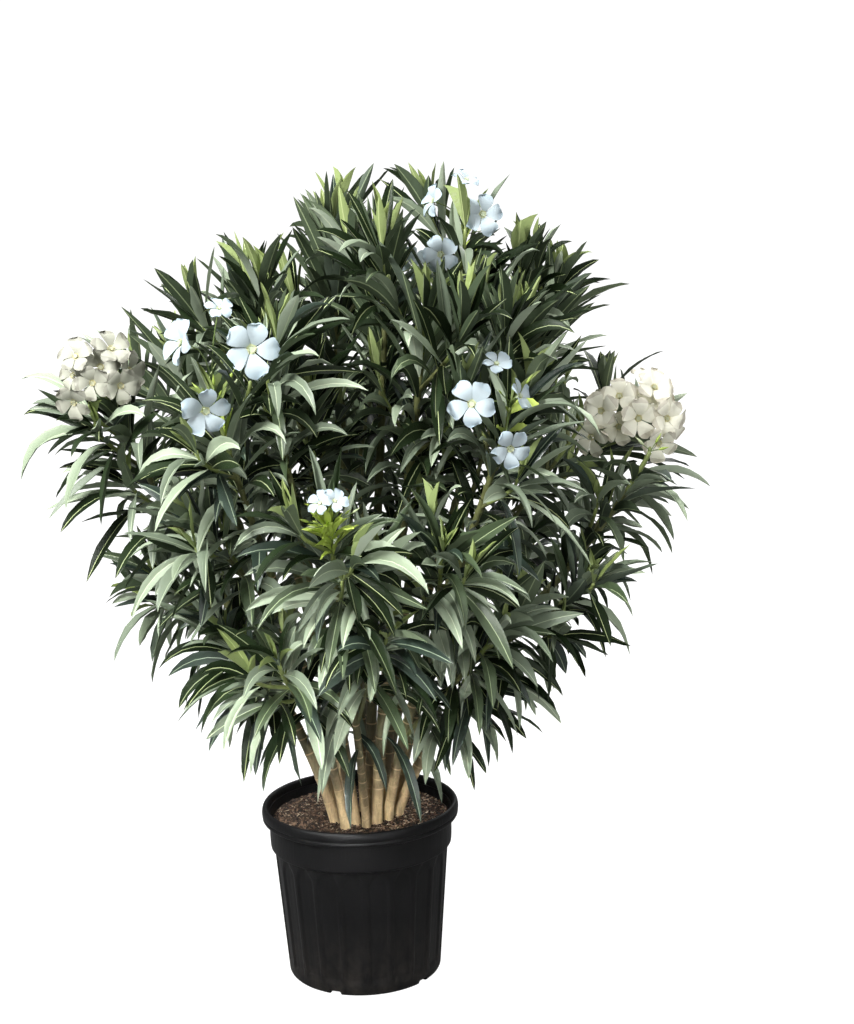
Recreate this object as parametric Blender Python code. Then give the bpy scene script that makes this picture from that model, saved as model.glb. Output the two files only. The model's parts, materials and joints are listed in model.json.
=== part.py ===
"""Potted oleander: a many-stemmed evergreen shrub in flower, in a ribbed nursery pot.

Run with: blender --background --python part.py
Units are metres, +Z is up and the plant's front faces -Y. The pot stands on z = 0, centred on the origin.

Build order: pot, soil, canes that stand in the soil, boughs that fork off canes, then one mass of foliage at
the end of every shoot. A shoot is one smooth route from its foot or fork to its tip: its lower part is the
limb, and its leafy part is the stem of its mass. Every solid keeps clear of all the others.
"""

import math
import random
from collections import namedtuple

import bmesh
import bpy
import numpy as np
from mathutils import Matrix, Vector
from mathutils.bvhtree import BVHTree
from mathutils.kdtree import KDTree

SEED = 31
GAP = 0.0003  # between solids that meet
MERGE = 2e-7  # points nearer than this are one point
UP = Vector((0, 0, 1))
SIDE = Vector((1, 0, 0))  # the corners of every tube are counted from this side

# Pot: blow-moulded container with a rolled rim, a plain collar and 21 ribs
POT_HEIGHT = 0.356
RIM_RADIUS = 0.200
RIM_DEPTH = 0.029
RIM_OVERHANG = 0.014
RIM_ROUND = 0.006
COLLAR_DEPTH = 0.058
BODY_TOP_RADIUS = 0.177
COLLAR_STEP = 0.007
FOOT_RADIUS = 0.156
FOOT_ROUND = 0.009
WALL = 0.0045
FLOOR = 0.014
RIB_COUNT = 21
RIB_PHASE = math.radians(1.4)
RIB_HALF_ANGLE = math.radians(1.9)
PANEL_DEPTH = 0.0038
PANEL_FOOT = 0.030
PANEL_ARCH = 0.024
NOTCH_COUNT = 5
NOTCH_PHASE = math.radians(-24)
NOTCH_SIZE = (0.026, 0.044, 0.019)  # tangent, radial, height of the cutter; half of it is below the pot

# Soil
SOIL_TOP = 0.325
SOIL_CLEARANCE = 0.0009
SOIL_SIDES = 48

# Limbs
CANE_SIDES = 6
BOUGH_SIDES = 5
STEM_SIDES = 3
SEGMENT = 0.085  # length of one straight piece of a limb
STEM_SEGMENT = 0.11
TIP_RADIUS = 0.0024
STEM_SWELL = 1.25  # a three-sided stem is drawn wider, to hold the same wood
FLARE = 0.18
FLARE_HEIGHT = 0.022
FORK_SHARE = 0.62  # a bough's girth over its parent's at the fork
LIMB_CLEARANCE = 0.0018

# Routes
CURVE_STEPS = 32
START_HANDLE = 0.38  # length of the curve's handles, as shares of the straight way from start to tip
TIP_HANDLE = 0.30
START_LEAN = 0.7  # how much a shoot leaves upright, or along its parent
TIP_OUT = 0.9  # how much its tip leans outwards
ROUTE_TRIES = 200
NUDGE_STEP = 0.0012  # how much more a shoot may bend at each try
ROUTE_SWELL = 1.05
TEST_SEGMENT = 0.03
FORK_CLEAR = 0.020  # a fork's first stretch lies against its parent

# Twigs
TWIG_BACK = 0.38  # where the first twig leaves, as a share of the leafy part, back from the tip
TWIG_PITCH = 0.22
TWIG_SPAN = (0.36, 0.46)  # share of the leafy part
TWIG_ALONG = 0.85
TWIG_OUT = (0.5, 0.8)
TWIG_RISE = 0.12
TWIG_GIRTHS = (1.5, 1.3, 1.0)  # at its foot, middle and tip, over TIP_RADIUS
TWIG_BARE = 0.45  # share of a twig with no leaves
TWIG_CLEARANCE = 0.004

# Leaves
LEAF_LENGTH = 0.205
LEAF_WIDTH = 0.052
LEAF_THICKNESS = 0.0026
LEAF_WIDEST = 0.40  # share of the length
WHORL = 3
WHORL_SPACING = 0.090
FIRST_WHORL = 0.006  # below the tip
WHORL_TWIST = math.radians(24)  # whorls turn this far to either side of the stem's three faces, by turns
YOUNG_LEAF = 0.66  # length of the leaves round a shoot's tip, as a share of the grown ones
YOUNG_UNTIL = 0.3  # share of the leafy part that bears young leaves
LEAF_SIZES = (0.88, 1.08)
TIP_SPREAD = math.radians(24)  # from the stem, for the youngest leaves
OLD_SPREAD = math.radians(58)  # added for the oldest
LOW_SPREAD = math.radians(10)  # added low on the plant
TIP_DROOP = 0.12
OLD_DROOP = 0.65
LOW_DROOP = 0.5
LOW_OLD_DROOP = 0.9
LOOSE_DROOP = 0.2
LOW_UNDER = 1.0  # leaves hang more and more below this height, over LOW_SPAN
LOW_SPAN = 0.35
LOOSENESS = (0.10, 0.03)  # random turn of a leaf, and how much more of it at each try
SHRINK = 0.018  # how much shorter a leaf is at each try
TRIES = 14
TERRITORY = 0.06  # how much nearer to a neighbour's stem than to its own a leaf may end
STEM_POINTS = 12  # where a stem is measured from
NEIGHBOURS = 8
LEAF_CLEARANCE = 0.0016
LEAF_ROOT = 0.012  # stretch of a leaf that may touch its own stem

# Blossom
PETALS = 5
PETAL_TURN = 0.42  # from a petal's middle to the corners of its blunt end
PETAL_CLEFT = 0.50  # radius between two petals, over the flower's
FLOWER_DEPTH = 0.016
FLOWER_CLEARANCE = 0.003
PEDICEL_RADIUS = 0.0021
PEDICEL_SWELL = 1.3
PEDICEL_STEP = 0.007
HEAD_RADIUS = 0.062
HEAD_RISE = 0.050
HEAD_FALL = 1.25  # how far down a head its flowers reach, in radii from its top
HEAD_TURN = math.radians(137.5)
CREAM_DIAMETER = 0.068
CREAM_SIZES = (0.92, 1.05)

Shoot = namedtuple("Shoot", "name parent start tip leafy girth limb twigs")
# start: a cane's foot on the soil (x, y), or a fork's share of its parent's length
# tip: azimuth in degrees (0 is the front, 90 is +X), reach from the middle, height
SHOOTS = [
    Shoot("left_bloom", None, (-0.030, -0.076), (-33, 0.42, 1.21), 0.34, 0.0090, "cane", 1),
    Shoot("left_upright", None, (-0.010, -0.060), (-28, 0.30, 1.28), 0.36, 0.0095, "cane", 1),
    Shoot("front_centre", None, (0.011, -0.078), (-5, 0.42, 1.00), 0.30, 0.0078, "cane", 2),
    Shoot("mid_upper", None, (0.031, -0.056), (34, 0.27, 1.36), 0.44, 0.0115, "cane", 2),
    Shoot("right_bloom", None, (0.054, -0.036), (43, 0.43, 1.19), 0.34, 0.0100, "cane", 1),
    Shoot("far_left", None, (-0.050, -0.044), (-75, 0.45, 1.18), 0.34, 0.0100, "cane", 1),
    Shoot("far_right", None, (0.074, -0.010), (79, 0.59, 1.07), 0.38, 0.0105, "cane", 2),
    Shoot("top_mid", None, (0.020, -0.026), (34, 0.15, 1.45), 0.40, 0.0105, "cane", 2),
    Shoot("upper_left", None, (-0.016, -0.028), (-66, 0.19, 1.39), 0.42, 0.0100, "cane", 2),
    Shoot("top_bloom", None, (0.044, 0.000), (95, 0.24, 1.48), 0.40, 0.0105, "cane", 2),
    Shoot("top_left", None, (0.010, 0.008), (-150, 0.04, 1.49), 0.42, 0.0110, "cane", 2),
    Shoot("right_crest", None, (0.072, 0.024), (101, 0.43, 1.38), 0.40, 0.0105, "cane", 2),
    Shoot("left_back", None, (-0.046, -0.008), (-108, 0.35, 1.25), 0.36, 0.0095, "cane", 2),
    Shoot("back_left", None, (-0.026, 0.030), (-150, 0.42, 1.20), 0.38, 0.0095, "cane", 2),
    Shoot("back_middle", None, (0.008, 0.044), (176, 0.46, 1.12), 0.38, 0.0095, "cane", 2),
    Shoot("back_right", None, (0.044, 0.042), (138, 0.47, 1.20), 0.38, 0.0095, "cane", 2),
    Shoot("upper_right", "right_bloom", 0.42, (64, 0.35, 1.31), 0.34, 0, "bough", 1),
    Shoot("right_mid", "right_crest", 0.40, (84, 0.46, 1.12), 0.30, 0, "bough", 1),
    Shoot("right_cream", "right_crest", 0.48, (100, 0.57, 1.10), 0.28, 0, "bough", 1),
    Shoot("right_low", "far_right", 0.14, (58, 0.27, 0.68), 0.20, 0, "bough", 1),
    Shoot("inner_left", "upper_left", 0.42, (-20, 0.20, 1.20), 0.30, 0, "bough", 2),
    Shoot("back_top", "top_left", 0.50, (158, 0.29, 1.40), 0.38, 0, "bough", 2),
    Shoot("left_hang", "left_back", 0.36, (-84, 0.37, 0.83), 0.20, 0, "bough", 1),
    Shoot("right_hang", "far_right", 0.40, (66, 0.48, 0.84), 0.26, 0, "bough", 1),
    Shoot("inner_right", "top_mid", 0.48, (50, 0.22, 1.12), 0.30, 0, None, 1),
    Shoot("front_low", "front_centre", 0.34, (7, 0.37, 0.81), 0.22, 0, None, 1),
    Shoot("left_low", "left_bloom", 0.20, (-22, 0.37, 0.74), 0.22, 0, None, 1),
    Shoot("left_low_out", "far_left", 0.22, (-47, 0.33, 0.77), 0.24, 0, None, 1),
    Shoot("left_mid", "left_bloom", 0.50, (-42, 0.41, 1.00), 0.24, 0, None, 1),
    Shoot("front_right", "right_bloom", 0.40, (24, 0.40, 0.94), 0.24, 0, None, 1),
    Shoot("right_skirt", "right_bloom", 0.20, (45, 0.38, 0.77), 0.26, 0, None, 1),
    Shoot("back_low", "back_middle", 0.40, (-168, 0.42, 0.84), 0.26, 0, None, 1),
    Shoot("back_low_left", "back_left", 0.40, (-128, 0.42, 0.86), 0.26, 0, None, 1),
    Shoot("back_low_right", "back_right", 0.38, (122, 0.42, 0.84), 0.26, 0, None, 1),
]

Flower = namedtuple("Flower", "right front up azimuth elevation diameter")
# centre from its shoot's tip, where it looks (azimuth 0 is the front), and its size
WHITE_FLOWERS = {
    "top_bloom": [
        Flower(-0.047, 0.060, 0.058, -70, 20, 0.066),
        Flower(0.052, 0.075, 0.030, 8, 10, 0.078),
        Flower(-0.034, 0.080, -0.045, -25, -15, 0.074),
        Flower(0.026, 0.030, 0.098, 30, 55, 0.052),
    ],
    "left_bloom": [
        Flower(-0.056, 0.020, 0.090, -65, 15, 0.070),
        Flower(-0.008, 0.065, -0.028, -15, -20, 0.086),
        Flower(0.018, 0.000, 0.148, 20, 50, 0.052),
    ],
    "left_upright": [Flower(-0.020, 0.080, 0.030, 6, 5, 0.098)],
    "right_bloom": [
        Flower(-0.062, 0.055, 0.010, -8, 8, 0.082),
        Flower(0.030, 0.030, 0.020, 60, 25, 0.064),
        Flower(0.006, 0.070, -0.072, 25, -30, 0.070),
        Flower(-0.012, 0.010, 0.078, 10, 50, 0.052),
    ],
    "front_centre": [
        Flower(-0.016, 0.035, 0.052, -20, 35, 0.046),
        Flower(0.012, 0.035, 0.058, 25, 40, 0.046),
    ],
    "back_top": [
        Flower(-0.040, -0.060, 0.040, 190, 15, 0.078),
        Flower(0.046, -0.050, 0.020, 150, 20, 0.078),
    ],
    "back_left": [
        Flower(-0.030, -0.060, 0.030, 215, 15, 0.078),
        Flower(0.040, -0.050, 0.040, 170, 30, 0.070),
    ],
}
CREAM_HEADS = {"far_left": 7, "right_cream": 8}

MATERIALS = {
    "black_plastic": ((0.012, 0.012, 0.013), 0.50),
    "compost": ((0.055, 0.036, 0.022), 0.95),
    "cane_bark": ((0.34, 0.25, 0.14), 0.75),
    "green_bark": ((0.12, 0.13, 0.055), 0.65),
    "foliage": ((0.045, 0.085, 0.040), 0.55),
}


def clear_scene():
    for thing in list(bpy.data.objects):
        bpy.data.objects.remove(thing, do_unlink=True)


def make_materials():
    for name, (colour, roughness) in MATERIALS.items():
        material = bpy.data.materials.new(name)
        material.use_nodes = True
        shader = material.node_tree.nodes["Principled BSDF"]
        shader.inputs["Base Color"].default_value = (*colour, 1)
        shader.inputs["Roughness"].default_value = roughness
        shader.inputs["Metallic"].default_value = 0
        material.diffuse_color = (*colour, 1)


def outward(points, faces):
    """The same faces, turned round if they enclose a negative volume."""
    volume = 0.0
    for face in faces:
        for second, third in zip(face[1:], face[2:]):
            volume += points[face[0]].dot(points[second].cross(points[third]))
    return faces if volume > 0 else [tuple(reversed(face)) for face in faces]


def add_object(name, points, faces, material=None, collection=None):
    mesh = bpy.data.meshes.new(name)
    mesh.from_pydata(points, [], outward(points, faces))
    frame = bmesh.new()
    frame.from_mesh(mesh)
    bmesh.ops.triangulate(frame, faces=frame.faces)
    frame.to_mesh(mesh)
    frame.free()
    thing = bpy.data.objects.new(name, mesh)
    (collection or bpy.context.scene.collection).objects.link(thing)
    if material:
        mesh.materials.append(bpy.data.materials[material])
        mesh.shade_smooth()
        mesh.set_sharp_from_angle(angle=math.radians(35))
    return thing


def bake(thing):
    """Applies the object's modifiers."""
    graph = bpy.context.evaluated_depsgraph_get()
    mesh = bpy.data.meshes.new_from_object(thing.evaluated_get(graph))
    thing.modifiers.clear()
    thing.data = mesh


def boolean(thing, operation, operand, solver="EXACT"):
    """Cuts thing by an object, or joins it with a collection, and removes what it used."""
    modifier = thing.modifiers.new(operation, "BOOLEAN")
    modifier.operation = operation
    modifier.solver = solver
    used = [operand]
    if isinstance(operand, bpy.types.Collection):
        modifier.operand_type = "COLLECTION"
        modifier.collection = operand
        used = list(operand.objects)
    else:
        modifier.object = operand
    bake(thing)
    for helper in used:
        bpy.data.objects.remove(helper, do_unlink=True)


# Pot and soil


def lathe(rings, angles):
    """Points and faces of a closed turned shape: each ring gives radius and height by place round it."""
    points = []
    for ring in rings:
        for place, angle in enumerate(angles):
            radius, height = ring(place)
            points.append(Vector((radius * math.sin(angle), -radius * math.cos(angle), height)))
    count = len(angles)
    faces = []
    for row in range(len(rings) - 1):
        for place in range(count):
            beside = (place + 1) % count
            low, high = row * count, (row + 1) * count
            faces.append((low + place, low + beside, high + beside, high + place))
    faces.append(tuple(reversed(range(count))))
    faces.append(tuple(range((len(rings) - 1) * count, len(rings) * count)))
    return points, faces


def plain_ring(radius, height):
    return lambda place: (radius, height)


def ribbed_ring(radius, height):
    """Three points a rib: its two edges stand out, and the middle of the panel between them is recessed."""
    return lambda place: (radius - (PANEL_DEPTH if place % 3 == 2 else 0), height)


def rib_angles():
    pitch = 2 * math.pi / RIB_COUNT
    angles = []
    for rib in range(RIB_COUNT):
        middle = RIB_PHASE + rib * pitch
        angles += [middle - RIB_HALF_ANGLE, middle + RIB_HALF_ANGLE, middle + pitch / 2]
    return angles


def body_radius(height):
    share = (height - FOOT_ROUND) / (POT_HEIGHT - RIM_DEPTH - COLLAR_DEPTH - FOOT_ROUND)
    return FOOT_RADIUS + (BODY_TOP_RADIUS - FOOT_RADIUS) * share


def make_pot():
    rim_foot = POT_HEIGHT - RIM_DEPTH
    collar_foot = rim_foot - COLLAR_DEPTH
    collar_radius = body_radius(collar_foot) + COLLAR_STEP
    panel_top = collar_foot - PANEL_ARCH
    inner_radius = RIM_RADIUS - RIM_OVERHANG
    rings = [
        plain_ring(FOOT_RADIUS - FOOT_ROUND, 0),
        plain_ring(FOOT_RADIUS, FOOT_ROUND),
        ribbed_ring(body_radius(PANEL_FOOT), PANEL_FOOT),
        ribbed_ring(body_radius(panel_top), panel_top),
        plain_ring(body_radius(collar_foot), collar_foot),
        plain_ring(collar_radius, collar_foot + 0.003),
        plain_ring(collar_radius, rim_foot),
        plain_ring(RIM_RADIUS, rim_foot + 0.004),
        plain_ring(RIM_RADIUS, POT_HEIGHT - RIM_ROUND),
        plain_ring(RIM_RADIUS - RIM_ROUND, POT_HEIGHT),
        plain_ring(inner_radius, POT_HEIGHT - RIM_ROUND),
        plain_ring(pot_inside(collar_foot), collar_foot),
        plain_ring(pot_inside(FLOOR), FLOOR),
    ]
    points, faces = lathe(rings, rib_angles())
    pot = add_object("pot", points, faces, "black_plastic")
    notches = bpy.data.collections.new("notches")
    for count in range(NOTCH_COUNT):
        angle = NOTCH_PHASE + count * 2 * math.pi / NOTCH_COUNT
        notches.objects.link(notch_cutter(angle))
    boolean(pot, "DIFFERENCE", notches)
    return pot


def pot_inside(height):
    """Inner radius of the wall at a height: it follows the body, and flares to the rim inside the collar."""
    foot = POT_HEIGHT - RIM_DEPTH - COLLAR_DEPTH
    share = max(height - foot, 0) / (POT_HEIGHT - RIM_ROUND - foot)
    wall = body_radius(min(height, foot)) - PANEL_DEPTH - WALL
    return wall + (RIM_RADIUS - RIM_OVERHANG - wall) * share


def notch_cutter(angle):
    """A box that bites a drain notch out of the foot's edge."""
    place = Matrix.Rotation(angle, 4, "Z") @ Matrix.Translation((0, -FOOT_RADIUS, 0))
    frame = bmesh.new()
    bmesh.ops.create_cube(frame, size=1, matrix=place @ Matrix.Diagonal((*NOTCH_SIZE, 1)))
    mesh = bpy.data.meshes.new("notch")
    frame.to_mesh(mesh)
    frame.free()
    return bpy.data.objects.new("notch", mesh)


def make_soil():
    angles = [2 * math.pi * side / SOIL_SIDES for side in range(SOIL_SIDES)]
    foot = FLOOR + GAP
    heights = (foot, POT_HEIGHT - RIM_DEPTH - COLLAR_DEPTH, SOIL_TOP)
    rings = [plain_ring(pot_inside(height) - SOIL_CLEARANCE, height) for height in heights]
    return add_object("soil", *lathe(rings, angles), "compost")


# Routes


class Route:
    """A curve through space, read by distance from its start."""

    def __init__(self, start, first_handle, last_handle, tip):
        self.points = []
        for step in range(CURVE_STEPS + 1):
            t = step / CURVE_STEPS
            point = start * (1 - t) ** 3 + first_handle * 3 * t * (1 - t) ** 2
            self.points.append(point + last_handle * 3 * t * t * (1 - t) + tip * t**3)
        self.marks = [0.0]
        for here, there in zip(self.points, self.points[1:]):
            self.marks.append(self.marks[-1] + (there - here).length)
        self.length = self.marks[-1]

    def at(self, distance):
        distance = min(max(distance, 0), self.length)
        piece = min(int(np.searchsorted(self.marks, distance, side="right")), len(self.marks) - 1)
        share = (distance - self.marks[piece - 1]) / (self.marks[piece] - self.marks[piece - 1])
        return self.points[piece - 1].lerp(self.points[piece], share)

    def heading(self, distance):
        return (self.at(distance + 0.01) - self.at(distance - 0.01)).normalized()


class Chords:
    """The straight pieces that stand for a stretch of a route in a faceted solid."""

    def __init__(self, route, start, end, piece):
        count = max(2, round((end - start) / piece))
        self.route, self.start, self.end, self.count = route, start, end, count
        self.marks = [start + (end - start) * step / count for step in range(count + 1)]

    def at(self, mark):
        step = min(int((mark - self.start) / (self.end - self.start) * self.count), self.count - 1)
        here, there = self.marks[step], self.marks[step + 1]
        return self.route.at(here).lerp(self.route.at(there), (mark - here) / (there - here))

    def tube(self, radii, sides, level_foot=False):
        headings = [self.route.heading(mark) for mark in self.marks]
        if level_foot:
            headings[0] = UP
        return tube([self.route.at(mark) for mark in self.marks], headings, radii, sides)


def polar(azimuth, reach, height):
    angle = math.radians(azimuth)
    return Vector((reach * math.sin(angle), -reach * math.cos(angle), height))


def plan_route(start, tip, lean, nudge):
    """Leaves the start between straight at the tip and the way lean points, and ends turned upwards."""
    span = (tip - start).length
    straight = (tip - start).normalized()
    away = Vector((straight.x, straight.y, 0))
    first = (straight + lean * START_LEAN).normalized()
    last = (UP + away * TIP_OUT).normalized()
    first_handle = start + first * span * START_HANDLE + nudge
    return Route(start, first_handle, tip - last * span * TIP_HANDLE - nudge / 2, tip)


def tube(points, headings, radii, sides):
    """Points and faces of a tapering tube with flat ends, each ring square to its heading."""
    corners, faces = [], []
    for point, along, radius in zip(points, headings, radii):
        side = (SIDE - along * SIDE.dot(along)).normalized()
        other = along.cross(side)
        for corner in range(sides):
            angle = 2 * math.pi * corner / sides
            corners.append(point + (side * math.cos(angle) + other * math.sin(angle)) * radius)
    for ring in range(len(points) - 1):
        for corner in range(sides):
            low, beside = ring * sides + corner, ring * sides + (corner + 1) % sides
            faces.append((low, beside, beside + sides, low + sides))
    faces.append(tuple(reversed(range(sides))))
    faces.append(tuple(range((len(points) - 1) * sides, len(points) * sides)))
    return corners, faces


class Occupied:
    """Everything that is already in place, for testing whether a new piece would touch it."""

    def __init__(self):
        self.trees, self.owners = [], []
        self.low, self.high = np.zeros((8000, 3)), np.zeros((8000, 3))

    def add(self, shape, owner):
        box = np.array(shape[0])
        self.low[len(self.trees)], self.high[len(self.trees)] = box.min(0), box.max(0)
        self.trees.append(BVHTree.FromPolygons(*shape))
        self.owners.append(owner)

    def touches(self, shape, but=None):
        """Whether the shape crosses anything, except what the owner named in but holds."""
        count = len(self.trees)
        box = np.array(shape[0])
        near = (self.low[:count] < box.max(0)).all(1) & (self.high[:count] > box.min(0)).all(1)
        tree = BVHTree.FromPolygons(*shape)
        for index in np.nonzero(near)[0]:
            if self.owners[index] != but and tree.overlap(self.trees[index]):
                return True
        return False


class Growth:
    """One shoot as it grows: its route, its girth and where its leafy part starts."""

    def __init__(self, shoot, parent):
        self.shoot, self.parent = shoot, parent
        self.tip = polar(*shoot.tip)
        if parent is None:
            self.start = Vector((*shoot.start, SOIL_TOP + GAP))
            self.lean = UP
            self.girth = shoot.girth
        else:
            fork = parent.route.length * shoot.start
            self.start = parent.route.at(fork)
            self.lean = parent.route.heading(fork)
            self.girth = parent.radius(fork) * FORK_SHARE
        self.route = plan_route(self.start, self.tip, self.lean, Vector((0, 0, 0)))

    def radius(self, distance):
        share = distance / self.route.length
        flare = FLARE * math.exp(-distance / FLARE_HEIGHT) if self.parent is None else 0
        return (self.girth + (TIP_RADIUS - self.girth) * share) * (1 + flare)

    @property
    def leafy_start(self):
        return self.route.length - self.shoot.leafy if self.shoot.limb else 0.0

    def shape(self, start, end, sides, piece, extra=0.0, swell=1.0):
        """The tube between two distances along the route; a cane's foot is cut level with the soil."""
        chords = Chords(self.route, start, end, piece)
        radii = [self.radius(mark) * swell + extra for mark in chords.marks]
        return chords.tube(radii, sides, self.parent is None and start == 0)


def settle_route(growth, occupied, dice):
    """Bends the shoot a little, ever more, until it runs clear of the shoots already in place."""
    start = 3 * growth.girth + FORK_CLEAR if growth.parent else 0.0
    for attempt in range(ROUTE_TRIES):
        reach = NUDGE_STEP * attempt
        nudge = Vector([dice.uniform(-reach, reach) for _ in range(3)])
        growth.route = plan_route(growth.start, growth.tip, growth.lean, nudge)
        end = growth.route.length
        whole = growth.shape(start, end, CANE_SIDES, TEST_SEGMENT, LIMB_CLEARANCE, ROUTE_SWELL)
        if not occupied.touches(whole):
            placed = growth.shape(0, end, CANE_SIDES, TEST_SEGMENT, 0.0, ROUTE_SWELL)
            occupied.add(placed, growth.shoot.name)
            return
    raise RuntimeError(f"no clear way for {growth.shoot.name}")


def grow_shoots(dice):
    growths = {}
    occupied = Occupied()
    for shoot in SHOOTS:
        growth = Growth(shoot, growths.get(shoot.parent))
        settle_route(growth, occupied, dice)
        growths[shoot.name] = growth
    return growths


# Limbs


def cut_at_parent(thing, growth):
    """Saddles the base of a fork on its parent, a gap clear of it."""
    parent = growth.parent
    sides = CANE_SIDES if parent.shoot.limb == "cane" else BOUGH_SIDES
    cutter = parent.shape(0, parent.leafy_start, sides, SEGMENT, GAP / math.cos(math.pi / sides) + 0.0001)
    boolean(thing, "DIFFERENCE", add_object("saddle", *cutter))


def make_limb(growth):
    kind = growth.shoot.limb
    sides = CANE_SIDES if kind == "cane" else BOUGH_SIDES
    material = "cane_bark" if kind == "cane" else "green_bark"
    shape = growth.shape(0, growth.leafy_start, sides, SEGMENT)
    limb = add_object(f"{kind}_{growth.shoot.name}", *shape, material)
    if growth.parent:
        cut_at_parent(limb, growth)
    return limb


# Foliage


def leaf(root, heading, across, length, width, thickness, droop):
    """A lance-shaped blade of six faces: a root, a keeled ring where it is widest and bends, and a tip."""
    keel = thickness if heading.cross(across).z < 0 else -thickness
    first = (heading - UP * droop * LEAF_WIDEST).normalized()
    last = (heading - UP * droop).normalized()
    bend = root + first * length * LEAF_WIDEST
    half = across * width / 2
    below = (first + last).cross(across).normalized() * keel
    points = [root, bend - half, bend + half, bend + below, bend + last * length * (1 - LEAF_WIDEST)]
    return points, [(0, 1, 2), (0, 2, 3), (0, 3, 1), (4, 2, 1), (4, 3, 2), (4, 1, 3)]


def flower(centre, facing, diameter):
    """Five broad petals as one star: a shallow funnel in front and a cone behind."""
    side = facing.cross(UP if abs(facing.z) < 0.9 else SIDE).normalized()
    other = side.cross(facing)
    rim = []
    for petal in range(PETALS):
        middle = 2 * math.pi * petal / PETALS + math.pi / 2
        for turn, share in ((-PETAL_TURN, 1), (PETAL_TURN, 1), (math.pi / PETALS, PETAL_CLEFT)):
            spoke = side * math.cos(middle + turn) + other * math.sin(middle + turn)
            rim.append(centre + (spoke * diameter / 2 + facing * FLOWER_DEPTH * 0.3) * share)
    count = len(rim)
    points = rim + [centre - facing * FLOWER_DEPTH * 0.1, centre - facing * FLOWER_DEPTH]
    faces = []
    for place in range(count):
        beside = (place + 1) % count
        faces += [(place, beside, count), (beside, place, count + 1)]
    return points, faces


def bloom_of(growth, dice):
    """(centre, facing, diameter) of each flower at this shoot's tip."""
    name, tip = growth.shoot.name, growth.tip
    found = []
    for row in WHITE_FLOWERS.get(name, []):
        centre = tip + Vector((row.right, -row.front, row.up))
        rise = math.radians(row.elevation)
        facing = polar(row.azimuth, math.cos(rise), math.sin(rise))
        found.append((centre, facing, row.diameter))
    count = CREAM_HEADS.get(name, 0)
    for place in range(count):
        turn = place * HEAD_TURN
        height = 1 - HEAD_FALL * (place + 0.5) / count
        spread = math.sqrt(1 - height * height)
        facing = Vector((spread * math.cos(turn), spread * math.sin(turn), height))
        middle = tip + UP * HEAD_RISE
        found.append((middle + facing * HEAD_RADIUS, facing, CREAM_DIAMETER * dice.uniform(*CREAM_SIZES)))
    return found


def twig_shape(route, start, extra):
    radii = [TIP_RADIUS * share + extra for share in TWIG_GIRTHS]
    return Chords(route, start, route.length, route.length / 2).tube(radii, STEM_SIDES)


def pedicel(foot, head):
    along = (head - foot).normalized()
    return tube([foot, head], [along, along], [PEDICEL_RADIUS * PEDICEL_SWELL, PEDICEL_RADIUS], STEM_SIDES)


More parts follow.
